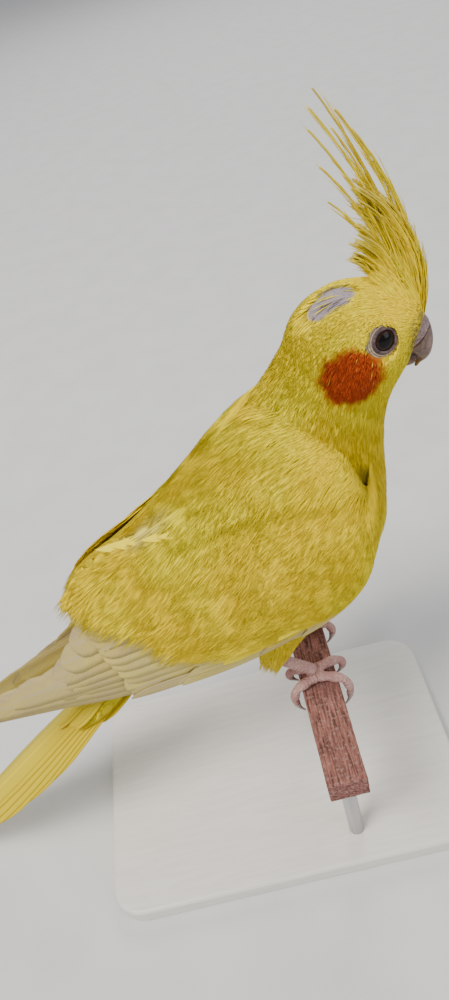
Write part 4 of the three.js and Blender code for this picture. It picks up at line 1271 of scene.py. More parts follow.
class COCKATIEL_OT_crest(bpy.types.Operator):
    """Raise the crest: slender feathers that fray into fine strands"""

    bl_idname = "cockatiel.crest"
    bl_label = "Crest"

    def execute(self, context):
        rng = np.random.default_rng(21)
        material = self.plume_material(context.scene.cockatiel_colours)
        count = context.scene.cockatiel_coat.crest_count
        vanes, vane_roots, vane_tone, strands, strand_roots = [], [], [], [], []
        for i in range(count + len(CREST_PLUMES)):
            f = (i + 0.5) / count
            way = float(rng.uniform(-1, 1))
            if i < count:
                length = float(smooth(CREST_LENGTHS, f * 7)) * rng.uniform(0.85, 1.05)
                lean, bow, slim = float(smooth(CREST_LEANS, f * 7)) + rng.normal(0, 0.8), CREST_BOW, 1.0
            else:
                f, length, lean, bow = CREST_PLUMES[i - count]
                way, slim = 0.8 * way, 0.55
            turn = math.radians(35) * way + rng.normal(0, 0.1)
            points, across, face = self.vane((f, way, length, lean), bow, turn, slim)
            vanes.append(points)
            vane_tone.append(rng.uniform(0, 1))
            vane_roots.append(skin_place(skin_share(mix(15.4, 13.2, f)), 0.2 if way > 0 else 6.08))
            for _ in range(34 if length > 20 else 16):
                strands.append(self.strand((f, way, length, lean), bow, across, face, slim, rng))
                strand_roots.append(vane_roots[-1])
        coat_piece("crest_feathers", np.stack(vanes), VANE_FACES, vane_roots, vane_tone, *vane_marks(),
                   material, replaces=("crest",))
        reach, across = tuft_marks(STRAND_TUFT)
        coat_piece("crest_strands", np.array(strands), tuft_faces(len(STRAND_TUFT)), strand_roots,
                   rng.uniform(0, 1, len(strands)), np.clip(reach * 0.5 + 0.35, 0, 1), across, material)
        self.skirt(material, rng)
        return {"FINISHED"}

    def plume_material(self, looks):
        """Yellow crest feathers that darken a little towards their tips."""
        made, tree, shader = new_material("crest_plumage", 0.62, Specular_IOR_Level=0.2)
        reach, tone = number(tree, "reach"), number(tree, "tone")
        colour = washed(
            tree, blend_colour(tree, ramp(tree, tone, 0.0, 1.0), looks.lemon, looks.golden),
            (ramp(tree, reach, 0.45, 1.0, 0.0, 0.75), (0.46, 0.37, 0.09)),
            (ramp(tree, tone, 0.7, 1.0, 0.0, 0.35), looks.shade),
        )
        paint(tree, shader, colour, speckle(tree, place_on(tree), 2400.0), 0.0002, 0.35)
        return made

    def vane(self, plan, bow, turn, slim):
        """Points of one crest feather, with the directions to its side and out of its face."""
        s, x = np.meshgrid(VANE_RUNGS, VANE_ACROSS, indexing="ij")
        line, ahead = crest_line(*plan, s, bow)
        across = np.array([0, math.cos(turn), 0]) + ahead * math.sin(turn)
        along = line[-1, 0] - line[0, 0]
        along /= np.linalg.norm(along)
        across -= along * np.dot(across, along)
        across /= np.linalg.norm(across)
        face = np.cross(across, along)
        half = 1.3 * slim * mix(0.75, 1, min(1, plan[2] / 40))
        half = half * vane_width(s, 0.5, 0.3, slim - 0.2, 0.8 / slim)
        middle = line + (half * x)[..., None] * across + (0.25 * (1 - x * x))[..., None] * face
        points = [(middle + face * thick).reshape(-1, 3) for thick in (0.14, -0.14)]
        return np.concatenate(points), across, face

    def strand(self, plan, bow, across, face, slim, rng):
        """Points of one fine strand that leaves a crest feather and drifts aside."""
        begin = rng.uniform(0.0, 0.8)
        end = min(1.05, begin + rng.uniform(0.18, 0.4))
        off = rng.normal(0, 1)
        spreads = rng.normal(0, 1, 2) * 1.3
        points = []
        for k, share in [*STRAND_TUFT, (1.0, 0.0)]:
            at = mix(begin, end, k)
            drift = across * (off * 0.9 + spreads[0] * k) + face * (spreads[1] * k * 0.8)
            middle = crest_line(*plan, at, bow)[0] + drift * (1.15 - (0.4 if slim == 1.0 else 0.8) * at)
            wide = 0.2 * share
            if k < 1:
                points += [middle - across * wide, middle + across * wide, middle + face * wide]
            else:
                points.append(middle)
        return points

    def skirt(self, material, rng):
        """Short feathers that rise from the forehead and close the crest's foot."""
        count = CREST_FOOT_COUNT
        t = 16.2 - 2.5 * rng.uniform(0, 1, count) ** 1.15
        angle = rng.normal(0, 0.42, count)
        start = body_point(t, angle, -0.6)
        front = np.clip((t - 13.4) / 2.8, 0, 1)
        lean = np.radians(mix(46, 15, front) + rng.normal(0, 4, count))
        length = mix(6, 18, front) * rng.uniform(0.6, 1.3, count) * (1 - 0.3 * np.minimum(1, np.abs(angle)))
        rise = np.stack([-np.sin(lean), 0 * lean, np.cos(lean)], axis=1)
        end = start + rise * length[:, None]
        end[:, 1] = start[:, 1] * 0.42 + rng.normal(0, 0.5, count)
        outward = body_point(t, angle, 1.0) - body_point(t, angle, 0.0)
        outward[:, 0] += 0.25
        bend = mix(start, end, 0.45) + outward * length[:, None] * 0.13
        face = outward / np.linalg.norm(outward, axis=1, keepdims=True) + np.array([0.02, 0.01, 0.0])
        points = bend_tufts(start, bend, end, rng.uniform(0.16, 0.34, count), 0.14, CREST_FOOT_TUFT, face)
        reach, across = tuft_marks(CREST_FOOT_TUFT)
        coat_piece("crest_foot", points, tuft_faces(len(CREST_FOOT_TUFT)),
                   body_roots(t, angle % (2 * math.pi)), tones(start, rng, 4.0, 0.2), reach * 0.4, across,
                   material)


# Feathers of a folded wing: count, root span, half width, thickness, rise, tilt, tips, across at root
# and at tip, and the outline of a feather
WING_TIERS = (
    ("primary", 10, (0.5, 0.5), 6.2, 0.24, (0.9, 0.9), 0.5,
     (1, 0.985, 0.93, 0.875, 0.825, 0.785, 0.75, 0.72, 0.695, 0.67),
     (0, 0.75), (0, 0.95), (0.45, 0.35, 0.86, 0.6)),
    ("secondary", 12, (0.43, 0.45), 5.4, 0.2, (2.4, 2.7), 0.36,
     (0.655, 0.656, 0.658, 0.66, 0.663, 0.666, 0.67, 0.675, 0.682, 0.69, 0.705, 0.7),
     (0.03, 1), (0.05, 1), (0.5, 0.35, 0.84, 0.5)),
    ("primary_covert", 6, (0.3, 0.34), 2.9, 0.3, (2.8, 3.8), 0.4,
     (0.56, 0.55, 0.54, 0.53, 0.52, 0.51),
     (0, 0.22), (0, 0.2), (0.5, 0.3, 0.7, 0.6)),
    ("greater_covert", 15, (0.33, 0.35), 3.4, 0.22, (3.4, 4.3), 0.32,
     (0.47, 0.48, 0.49, 0.505, 0.515, 0.525, 0.535, 0.543, 0.55, 0.557, 0.565, 0.575, 0.582, 0.59, 0.6),
     (0.1, 1), (0.1, 1), (0.5, 0.3, 0.76, 0.55)),
    ("median_covert", 15, (0.2, 0.22), 3.2, 0.22, (3.9, 4.9), 0.32,
     (0.36, 0.37, 0.375, 0.38, 0.385, 0.39, 0.395, 0.4, 0.405, 0.41, 0.415, 0.42, 0.425, 0.43, 0.44),
     (0.12, 0.98), (0.12, 0.98), (0.5, 0.3, 0.7, 0.55)),
    ("leading_edge", 6, (0.06, 0.42), 2.7, 0.3, (3.1, 3.5), 0.15,
     (0.25, 0.33, 0.41, 0.49, 0.57, 0.66),
     (0.0, 0.0), (0.0, 0.01), (0.6, 0.3, 0.7, 0.6)),
    ("alula", 4, (0.12, 0.16), 2.0, 0.3, (3.1, 4.1), 0.3,
     (0.31, 0.3, 0.285, 0.27),
     (0, 0.12), (0, 0.14), (0.5, 0.3, 0.7, 0.6)),
)

# Height of a wing's core at its stations
WING_CORE = (1.5, 4.2, 5, 4.9, 4.4, 3.6, 2.7, 2, 1.5, 1)

# Small feathers of the arm: span, count, length, half width, rise, thickness, tuft, wander
ARM_SETS = (
    ("arm_feathers", (0.0, 0.34), 760, 8.0, 2.5, (-0.7, 0.2), 0.16, BROAD_TUFT, 0.1),
    ("tertial_feathers", (0.36, 0.68), 520, 13.0, 2.5, (-0.3, 0.3), 0.14, BROAD_TUFT, 0.1),
    ("arm_barbs", (0.0, 0.37), 8200, 8.2, 0.145, (0.0, 0.5), 0.11, FINE_TUFT, 0.16),
    ("covert_barbs", (0.27, 0.72), 12800, 12.0, 0.145, (0.5, 1.1), 0.11, FINE_TUFT, 0.12),
)
# Lowest share of the wing's height that the arm's feathers reach, along the wing
ARM_EDGE = ((0, 0.12, 0.2, 0.35, 0.47, 0.57, 0.62, 0.675, 0.735),
            (0, 0.05, 0.08, 0.13, 0.17, 0.37, 0.6, 0.74, 1.02))
# Length of a row of the arm's feathers, along the wing in millimetres
ARM_ROWS = ((-40, 10, 50, 100), (7.0, 8.5, 13.0, 18.0))

# Saddle: count, length, half width, rise, tuft
SADDLE_SETS = (
    ("feathers", 170, 13.0, 3.0, (-1.8, -0.4), BROAD_TUFT),
    ("barbs", 3800, 10.0, 0.16, (-0.8, 0.3), SHORT_TUFT),
)

# The cape's line on the body, as section and degrees from the back, and its line on the wing
CAPE_BODY = np.array([[8.0, 88], [7.75, 56], [7.35, 34], [6.3, 10], [5.1, -3], [3.9, -5]])
CAPE_WING = np.array([[0.02, 0.86], [0.1, 0.84], [0.22, 0.8], [0.34, 0.78], [0.46, 0.8], [0.58, 0.86]])


def wing_core_height(u, v):
    """Height of the wing's core over its sheet."""
    full = smooth(WING_CORE, np.asarray(u, float) * WING_END)
    return full * (0.55 + 0.45 * np.sqrt(np.clip(1 - (2 * np.asarray(v, float) - 1) ** 4, 0, 1)))


def wing_roots(u, v):
    """Places on the unwrap of the wing's sheet."""
    return np.stack([0.03 + 0.94 * np.clip(u, 0, 1), 0.03 + 0.44 * np.clip(v, 0, 1)], axis=-1)


def bridge(side, body, wing, edge, b, h):
    """A surface from the body over an edge to a wing: body and wing each tell a place and a height."""
    inner = body_point(*body)
    up = body_point(body[0], body[1], body[2] + 1) - inner
    outer = wing_point(side, *wing)
    out = wing_point(side, wing[0], wing[1], wing[2] + 1) - outer
    b = b[..., None]
    return curve(inner, 2 * edge - (inner + outer) / 2, outer, b) + mix(up, out, b) * h[..., None]


class COCKATIEL_OT_wings(bpy.types.Operator):
    """Fold both wings: core, flight feathers, coverts in tiers and the small feathers over them"""

    bl_idname = "cockatiel.wings"
    bl_label = "Wings"

    def execute(self, context):
        looks = context.scene.cockatiel_colours
        plumage = bpy.data.materials["body_plumage"]
        # Cream, flush and shaft of the flight feathers, all darkened to the shade they lie in: painted shade
        # over their pale colours
        cream = (looks.cream, (0.56, 0.43, 0.10), (0.42, 0.35, 0.25))
        flight = vane_material("flight_feather", cream, looks, 0.55)
        covert = vane_material("covert_feather", (looks.lemon, looks.golden, looks.pale), looks, 0.6)
        for side, name in SIDES:
            self.core(side, name, plumage)
            rng = np.random.default_rng(40 + side)
            tiers, coverts = self.tiers(rng)
            coverts += self.small_coverts(rng)
            if side < 0:
                coverts += self.rumpled()
            groups = (("flight_feathers", tiers, flight, "flight_feathers", (f"wing_{name}",)),
                      ("coverts", coverts, covert, "yellow_feathers", ()))
            for label, feathers, material, slot, replaces in groups:
                points = lay_vanes(self.sheet(side), feathers, 50 + side)
                roots = wing_roots(*np.array([f.root for f in feathers]).T)
                tone = rng.uniform(0, 1, len(feathers))
                coat_piece(f"wing_{name}_{label}", points, VANE_FACES, roots, tone, *vane_marks(), material,
                           slot, replaces)
            self.arm(side, name, plumage, rng)
            self.bib(side, name, plumage, rng)
        self.saddle(plumage)
        return {"FINISHED"}

    def tiers(self, rng):
        """The flight feathers, and the coverts over them, in their tiers."""
        flight, coverts = [], []
        for kind, count, root, half, thick, rise, tilt, tips, low, high, shape in WING_TIERS:
            covert = kind in ("greater_covert", "median_covert")
            for i in range(count):
                f = i / (count - 1)
                low_edge = 1 - 0.38 * max(0.0, mix(low[0], low[1], f) - 0.7) / 0.3 if covert else 1.0
                (coverts if covert else flight).append(Feather(
                    (mix(root[0], root[1], f), mix(low[0], low[1], f)),
                    (tips[i] + rng.normal(0, 0.004), mix(high[0], high[1], f) + rng.normal(0, 0.006)),
                    half * rng.uniform(0.96, 1.04), thick,
                    (rise[0] * low_edge, (rise[1] + rng.uniform(-0.1, 0.25)) * low_edge), tilt, shape,
                    rng.normal(0, 0.008)))
        return flight, coverts

    def small_coverts(self, rng):
        """Two rows of small feathers along the wing's upper edge."""
        feathers = []
        for i in range(26):
            f, row = i / 25, i % 2
            feathers.append(Feather(
                (mix(0.05, 0.4, f), 1.03 - 0.1 * row),
                (mix(0.24, 0.62, f) + rng.normal(0, 0.01), mix(0.84, 0.97, f) - 0.09 * row),
                3.1, 0.26, (0.6, mix(3.8, 3.2, f)), 0.3, (0.5, 0.3, 0.62, 0.6)))
        return feathers

    def rumpled(self):
        """Five rumpled feathers at the near wing's upper edge."""
        feathers = []
        for i in range(5):
            f = i / 4
            feathers.append(Feather(
                (mix(0.36, 0.45, f), mix(0.82, 0.92, f)), (mix(0.5, 0.61, f), mix(0.93, 1.05, f)),
                1.8, 0.2, (1.4, 6.2 + 0.4 * (i % 2)), 0.3, (0.4, 0.4, 0.45, 0.9), 0.01))
        return feathers

    def sheet(self, side):
        """The wing's sheet for vanes: a and b along and across it, and millimetres aside and up."""
        def surface(a, b, wide, h):
            span = 5 * np.linalg.norm(wing_point(side, a, 0.4, 0) - wing_point(side, a, 0.6, 0), axis=-1)
            widest = np.maximum(np.abs(wide).max(axis=1, keepdims=True), 1e-6) / span
            margin = np.minimum(widest, 0.48)
            place = mix(margin, 1 - margin, b) + np.clip(wide / span, -margin, margin)
            return wing_point(side, a, place, h)
        return surface

    def core(self, side, name, material):
        """The wing's core as a closed shell, a little inside the solid."""
        bm = bmesh.new()
        bmesh.ops.create_grid(bm, x_segments=40, y_segments=26, size=0.5)
        places = {v: (v.co.x + 0.5, v.co.y + 0.5) for v in bm.verts}
        layer = bm.loops.layers.uv.new("OFBake")
        for face in bm.faces:
            for loop in face.loops:
                loop[layer].uv = wing_roots(*places[loop.vert])
        made = bmesh.ops.extrude_face_region(bm, geom=list(bm.faces))
        under = [g for g in made["geom"] if isinstance(g, bmesh.types.BMVert)]
        upper = set(places)
        for vertex in under:
            places[vertex] = (vertex.co.x + 0.5, vertex.co.y + 0.5)
        for face in bm.faces:
            if any(loop.vert not in upper for loop in face.loops):
                for loop in face.loops:
                    u, v = places[loop.vert]
                    loop[layer].uv = (0.03 + 0.94 * u, 0.53 + 0.44 * v)
        verts = list(bm.verts)
        u = np.array([places[v][0] * WING_CORE_END for v in verts])
        v = np.array([places[v][1] for v in verts])
        top = np.array([vertex in upper for vertex in verts])
        rim = np.minimum(1, np.minimum(v, 1 - v) / 0.05)
        h = np.where(top, wing_core_height(u, v) - 0.9 + 0.5 * (1 - rim), WING_INNER + 0.3)
        for vertex, point in zip(verts, to_frame(wing_point(side, u, v, h))):
            vertex.co = point
        mesh = mesh_of(bm, f"wing_{name}_core")
        for label in ("tone", "reach"):
            kept = mesh.attributes.new(label, "FLOAT", "POINT")
            kept.data.foreach_set("value", np.full(len(mesh.vertices), 0.3))
        return link_piece(f"wing_{name}_core", mesh, material, "yellow_feathers")

    def arm(self, side, name, material, rng):
        """Small feathers over the arm and fine barbs between the coverts."""
        def surface(u, v, h):
            behind = np.clip((np.asarray(u) - 0.42) / 0.12, 0, 1)
            over = 1.3 * np.clip((np.asarray(v) - 0.66) / 0.2, 0, 1) * behind
            over = over + 1.5 * np.clip((np.asarray(u) - 0.5) / 0.12, 0, 1)
            return wing_point(side, u, v, wing_core_height(u, v) + over + h)

        self.cape(side, name, material, rng)
        for label, span, count, length, half, rise, thick, shape, wander in ARM_SETS:
            u, v = spread(surface, span, (0.02, 0.98), count, 60 + side + len(label))
            u, v = np.clip(u, 0.002, 1), np.clip(v, 0.02, 0.985)
            reached = u + length / WING_LENGTH * (1.0 if half > 1 else 0.62)
            keep = v > np.interp(reached, *ARM_EDGE) + rng.normal(0, 0.02, count)
            u, v = u[keep], v[keep]
            count = len(u)
            at = surface(u, v, 0)
            slant = -np.interp(u, [0, 0.3, 0.6, 0.7], [0.8, 0.55, 0.25, 0.1])
            slant *= np.clip((v - 0.05) / 0.4, 0.2, 1)
            slant += 0.45 * np.clip((v - 0.88) / 0.1, 0, 1) * np.clip((u - 0.4) / 0.1, 0, 1)
            breadth = np.linalg.norm(wing_point(side, u, 1.0, 0) - wing_point(side, u, 0.0, 0), axis=1)
            length_wise, cross_wise = u * WING_LENGTH, v * breadth
            main = length_wise * math.cos(WING_SLANT) - cross_wise * math.sin(WING_SLANT)
            cross = length_wise * math.sin(WING_SLANT) + cross_wise * math.cos(WING_SLANT)
            knots = np.linspace(-80, 180, 200)
            rows = np.interp(knots, *ARM_ROWS)
            counted = np.concatenate([[0], np.cumsum(np.diff(knots) / rows[1:])])
            row = np.interp(main, knots, rows)
            phase = np.interp(main, knots, counted) + 0.2 * waves(at, 16.0, 7)
            along, aside, feather = laps(phase, cross / ARM_COLUMN)
            size = rng.uniform(0.8, 1.2, count)
            lengths = length * size
            ends = np.maximum((1.04 - along + rng.uniform(0, 0.4, count)) * row, 0.4 * row)
            lengths = mix(lengths, np.minimum(lengths, ends), 0.3)
            tip = np.minimum(1, along + lengths / row)
            lift = 0.26 * waves(at, 10.0, 2) + rng.uniform(-0.1, 0.12, count) - 0.06 * aside ** 2
            turn = slant + wander * (1.2 * waves(at, 9.0, 3) + 0.35 * rng.normal(0, 1, count)) + 0.12 * aside
            start = np.clip((0.42 - u) / 0.14, 0, 1) * (span[0] > 0.1)
            rises = (rise[0] + 0.15 * along - start, rise[1] + lift + 0.3 * tip - 0.15 - 0.62 * start)
            tone = np.clip(tones(at, rng, 8.0, 0.13) + 0.04 * (feather - 0.5), 0, 1)
            lay_coat(f"wing_{name}_{label}", surface, u, v, shape, lengths, half * size, rises, turn, thick,
                     wing_roots(u, v), tone, material)

    def bib(self, side, name, material, rng):
        """Feathers of the breast that lie over the wing's front edge."""
        def surface(a, b, h):
            a, b, h = alike(a, b, h)
            t, angle = mix(8.1, 6.45, a), side * np.radians(mix(128, 136, a))
            v = np.clip(mix(0.97, 0.06, a), 0, 1)
            edge = wing_point(side, 0.0, v, wing_core_height(0.0, v) + 1.4)
            wing = (0.07, v, wing_core_height(0.06, v) + 0.7)
            return bridge(side, (t, angle, 0.2), wing, edge, np.clip(b, -0.3, 1.1), h)

        count = BIB_COUNT
        a, b = spread(surface, (-0.08, 1.04), (-0.1, 0.9), count, 97 + side)
        at = surface(a, b, 0)
        lengths = 7.5 * rng.uniform(0.75, 1.2, count)
        turn = 0.35 + 0.2 * waves(at, 8.0, 3) + rng.normal(0, 0.08, count)
        sunk = np.clip(1 - a * 4, 0, 1)
        rises = (-0.5 - 0.5 * np.clip(1 - b * 5, 0, 1) - sunk, 0.25 + 0.25 * waves(at, 6.0, 2) - 0.6 * sunk)
        lay_coat(f"wing_{name}_bib", surface, a, b, SHORT_TUFT, lengths, 0.15 * np.ones(count), rises, turn,
                 0.12, wing_roots(0.06 * b, 1 - a), tones(at, rng, 7.0, 0.13), material)

    def saddle(self, material):
        """Feathers of the back that close the gap between the folded wings."""
        def surface(a, b, h):
            a, b, h = alike(a, b, h)
            u = mix(0.24, 0.66, a)
            core, b = wing_core_height(u, 1.0) + 0.6, b[..., None]
            left, right = wing_point(1, u, 1.0, core), wing_point(-1, u, 1.0, core)
            return mix(left, right, b) + np.array([-0.51, 0, 0.86]) * (8.0 * b * (1 - b) + h[..., None])

        rng = np.random.default_rng(95)
        for label, count, length, half, rise, shape in SADDLE_SETS:
            a, b = spread(surface, (0.0, 1.0), (-0.16, 1.0), count, 96)
            at = surface(a, b, 0)
            size = rng.uniform(0.75, 1.2, count)
            turn = 0.25 * waves(at, 9.0, 3) + rng.normal(0, 0.08, count)
            rises = (rise[0], rise[1] + 0.3 * waves(at, 7.0, 2))
            lay_coat(f"saddle_{label}", surface, a, b, shape, length * size, half * size, rises, turn, 0.14,
                     body_roots(mix(6.5, 3.0, a), 0.6 * (b - 0.5)), tones(at, rng, 7.0, 0.13), material)

    def cape(self, side, name, material, rng):
        """Feathers of neck and back that lie over the wing's upper edge and hide it."""
        def surface(a, b, h):
            a, b, h = alike(a, b, h)
            knot = np.clip(a, 0, 1.08) * (len(CAPE_BODY) - 1)
            t, angle = smooth(CAPE_BODY[:, 0], knot), side * np.radians(smooth(CAPE_BODY[:, 1], knot))
            beyond = np.maximum(b - 1, 0)
            u, v = smooth(CAPE_WING[:, 0], knot), smooth(CAPE_WING[:, 1], knot) - 0.3 * beyond
            grow = np.interp(a, [0, 0.4, 0.7, 1], [-0.4, 0.6, 2.0, 2.0])
            wing = (u, v, wing_core_height(u, v) + 1.7 - 0.9 * np.minimum(beyond * 3, 1))
            edge = wing_point(side, u, 1.0, wing_core_height(u, 1.0) + 1.5)
            return bridge(side, (t, angle, grow), wing, edge, np.clip(b, -0.3, 1), h)

        count = CAPE_COUNT
        a, b = spread(surface, (0.0, 0.78 if side > 0 else 0.95), (-0.1, 0.86), count, 90 + side)
        at = surface(a, b, 0)
        lengths = 10.0 * rng.uniform(0.75, 1.25, count)
        turn = np.interp(a, [0, 0.3, 0.7, 1], [0.95, 0.75, 0.5, 0.25])
        turn = turn + 0.2 * waves(at, 9.0, 3) + rng.normal(0, 0.08, count)
        lift = 0.2 + 0.35 * waves(at, 7.0, 2) + rng.uniform(-0.15, 0.15, count)
        rises = (-0.6 - 0.6 * np.clip(1 - b * 6, 0, 1), lift)
        lay_coat(f"wing_{name}_cape", surface, a, b, SHORT_TUFT, lengths, 0.15 * np.ones(count), rises, turn,
                 0.12, wing_roots(a * 0.6, 0.9 + 0.1 * b), tones(at, rng, 7.0, 0.2), material)


class COCKATIEL_OT_tail(bpy.types.Operator):
    """Hang the long graduated tail with its coverts"""

    bl_idname = "cockatiel.tail"
    bl_label = "Tail"

    def execute(self, context):
        looks = context.scene.cockatiel_colours
        # The tail's yellow is lemon darkened by a third with a mustard flush: its own deeper yellow, and
        # painted shade as well; its vanes get a strong painted shade along their edges
        mustard = (toned(looks.lemon, 0.66), looks.shade, looks.golden)
        material = vane_material("tail_feather", mustard, looks, 0.4, 0.0, 0.45)
        rng = np.random.default_rng(31)
        feathers = []
        for pair, (length, edge, half) in enumerate(TAIL_PAIRS):
            for side in (1, -1):
                level = -0.5 * (pair + (0.5 if side < 0 else 0))
                feathers.append(Feather(
                    (2 + pair, side * (1.2 + pair)), (length, side * (edge - half)), half, 0.34,
                    (level, level), 0.0, (0.5, 0.5, 0.62, 0.75)))
        for count, length, half, wide, rise in TAIL_COVERTS:
            for i in range(count):
                way = i / (count - 1) * 2 - 1
                end = mix(length[1], length[0], abs(way)) * rng.uniform(0.9, 1.05)
                feathers.append(Feather(
                    (-6, way * wide * 0.75), (end, way * wide), half, 0.3,
                    (rise[0], rise[1] + rng.uniform(-0.2, 0.2)), 0.0, (0.5, 0.4, 0.6, 0.7)))
        points = lay_vanes(lambda a, b, wide, h: tail_point(a, b + wide, h), feathers, 32)
        roots = [(0.5 + f.root[1] * 0.02, 0.1 + f.root[0] * 0.01) for f in feathers]
        tone = rng.uniform(0, 1, len(feathers))
        coat_piece("tail_feathers", points, VANE_FACES, roots, tone, *vane_marks(), material, "tail_feathers",
                   ("tail",))
        self.root_barbs(rng)
        return {"FINISHED"}

    def root_barbs(self, rng):
        """Fine barbs round the tail's root."""
        def surface(a, b, h):
            station = (np.asarray(a, float) + 8) / 8.5
            half, thick = smooth(TAIL_ROOT_HALF, station), smooth(TAIL_ROOT_THICK, station) / 2
            return tail_point(a, np.sin(b) * (half + h), np.cos(b) * (thick + h))

        count = TAIL_ROOT_COUNT
        along, turn = 28 * rng.uniform(0, 1, count) ** 1.4 - 6, rng.uniform(0, 2 * math.pi, count)
        size = rng.uniform(0.7, 1.2, count)
        roots = np.stack([0.1 + 0.8 * turn / (2 * math.pi), 0.05 + along * 0.01 + 0.07], axis=1)
        lay_coat("tail_root_barbs", surface, along, turn, FINE_TUFT, 9.0 * size, 0.2 * size, (-1.2, 0.3),
                 rng.normal(0, 0.15, count), 0.14, roots, tones(surface(along, turn, 0), rng),
                 bpy.data.materials["body_plumage"])


def limb_mesh(bm, line, radius, steps, around):
    """Adds a closed round limb along a line to a bmesh, and keeps the share of its length."""
    layer = bm.verts.layers.float.get("reach") or bm.verts.layers.float.new("reach")
    made = bmesh.ops.create_uvsphere(bm, u_segments=around, v_segments=steps, radius=1.0)
    for vertex in made["verts"]:
        share = 1 - math.acos(limit(-1.0, 1.0, vertex.co.z)) / math.pi
        flat = math.hypot(vertex.co.x, vertex.co.y)
        turn = math.atan2(vertex.co.y, vertex.co.x)
        at, before, after = (np.array(line(limit(0, 1, share + d))) for d in (0, -0.01, 0.01))
        _, side, over = directions(after - before)
        r = radius(share) * min(1.0, flat * 3.2 if share in (0, 1) else rounded(share))
        r *= rounded(1 - share)
        vertex[layer] = share
        vertex.co = Vector(to_frame(at + (side * math.cos(turn) + over * math.sin(turn)) * r))


def rounded(share):
    """Share of a limb's full radius near its end."""
    return (1 - (1 - min(1, share * 16)) ** 2) ** 0.5


def directions(along):
    """Unit directions along a limb, to its side and over it."""
    along = along / np.linalg.norm(along)
    side = np.array([0.0, 1.0, 0.0]) - along * along[1]
    side /= np.linalg.norm(side)
    return along, side, np.cross(along, side)


def toe_radius(t):
    """Radius of a toe, with its pads, at share t of its length."""
    return mix(TOE_ROOT, TOE_TIP, t) * (1 + 0.09 * math.cos(t * 6 * math.pi))


def toe_line(side, way, root_out, end_out, length):
    """The line of one toe, out along the batten's top and round its edge."""
    reach = PERCH_WIDTH / 2 + TOE_TIP + TOE_GAP + 0.9
    over = TOE_ROOT + TOE_GAP
    drop = length - PERCH_WIDTH / 2 - 2

    def out(f):
        return side * (FOOT_OUT[side] + mix(root_out, end_out, f))

    knots = np.array([
        (FOOT_CENTRE[0], out(0), over + 0.3),
        (way * reach * 0.5, out(0.45), over + 0.5),
        (way * reach * 0.92, out(0.8), over - 0.9),
        (way * (reach + 0.9), out(0.95), -drop * 0.4),
        (way * (reach + 0.5), out(1), -drop * 0.8),
    ])
    return lambda t: [float(smooth(knots[:, k], t * 4)) for k in range(3)]


class COCKATIEL_OT_legs(bpy.types.Operator):
    """Make the feathered thighs and the scaly feet with their claws"""

    bl_idname = "cockatiel.legs"
    bl_label = "Legs"

    def execute(self, context):
        scaly = self.scaly_material(context.scene.cockatiel_colours)
        horn, plumage = bpy.data.materials["horn"], bpy.data.materials["body_plumage"]
        for side, name in SIDES:
            self.thigh(side, name, plumage)
            bm = bmesh.new()
            heel = thigh_ends(side)[1]
            foot = np.array([FOOT_CENTRE[0], side * FOOT_OUT[side], FOOT_CENTRE[1]])
            start = heel + (heel - foot) * 0.12
            limb_mesh(bm, lambda t: mix(start, foot, t), lambda t: mix(2.1, 2.35, t), 34, 20)
            pad = bmesh.ops.create_uvsphere(bm, u_segments=24, v_segments=16, radius=1.0)
            for vertex in pad["verts"]:
                at = np.array(vertex.co) * FOOT_PAD + np.array([foot[0], foot[1], FOOT_PAD_HEIGHT])
                vertex.co = Vector(to_frame(at))
            for _, way, root_out, end_out, length in TOES:
                limb_mesh(bm, toe_line(side, way, root_out, end_out, length), toe_radius, 44, 20)
            link_piece(f"foot_{name}_scaled", mesh_of(bm, f"foot_{name}_scaled"), scaly, "scaly_skin",
                       (f"foot_{name}",))
            for toe, *_ in TOES:
                node = f"claw_{name}_{toe}"
                copy_node(f"{node}_horn", node, horn, "horn", subdivide=1)
        return {"FINISHED"}

    def scaly_material(self, looks):
        """Flesh-coloured skin with small scales and rings."""
        made, tree, shader = new_material("scaly_foot", 0.6, Specular_IOR_Level=0.25)
        place = place_on(tree)
        cells = add_node(tree, "ShaderNodeTexVoronoi", {"Vector": place, "Scale": 950.0})
        crease = ramp(tree, cells.outputs["Distance"], 0.25, 0.6)
        wide = ramp(tree, speckle(tree, place, 200.0), 0.35, 0.7)
        colour = blend_colour(tree, wide, looks.flesh, (0.60, 0.36, 0.31))
        colour = blend_colour(tree, times(tree, crease, 0.45), colour, (0.27, 0.17, 0.16))
        rings = maths(tree, "SINE", times(tree, number(tree, "reach"), 90.0))
        height = maths(tree, "SUBTRACT", times(tree, rings, 0.5), times(tree, crease, 1.2))
        paint(tree, shader, colour, height, 0.0003, 0.7)
        return made

    def thigh(self, side, name, plumage):
        """A thigh's coat: loose barbs that start on the belly and end in a soft fringe over the heel."""
        hip, heel = thigh_ends(side)
        _, out, over = directions(heel - hip)

        def surface(a, b, h):
            a, b, h = alike(a, b, h)
            full = np.interp(a, *THIGH_RADIUS)
            lump = 0.5 * np.sin(b * 3 + a * 5) * np.clip(a + 0.2, 0, 1)
            ring = np.cos(b)[..., None] * out + np.sin(b)[..., None] * over
            return hip + a[..., None] * (heel - hip) + ring * (full + lump + h)[..., None]

        rng = np.random.default_rng(70 + side)
        count = THIGH_COUNT
        a = 1.28 * rng.uniform(0, 1, count) - 0.32
        b = rng.uniform(0, 2 * math.pi, count)
        size = rng.uniform(0.7, 1.25, count)
        at = surface(a, b, 0)
        lift = 0.2 + 0.5 * waves(at, 4.0, 3) + rng.uniform(-0.2, 0.35, count)
        turn = 0.3 * waves(at, 7.0, 5) + rng.normal(0, 0.12, count)
        roots = np.stack(thigh_place(side, np.clip(a, 0, 1), b), axis=1)
        lay_coat(f"thigh_{name}_barbs", surface, a, b, FINE_TUFT, 8.0 * size, 0.19 * size, (-1.0, lift), turn,
                 0.14, roots, tones(at, rng, 4.0, 0.2), plumage)


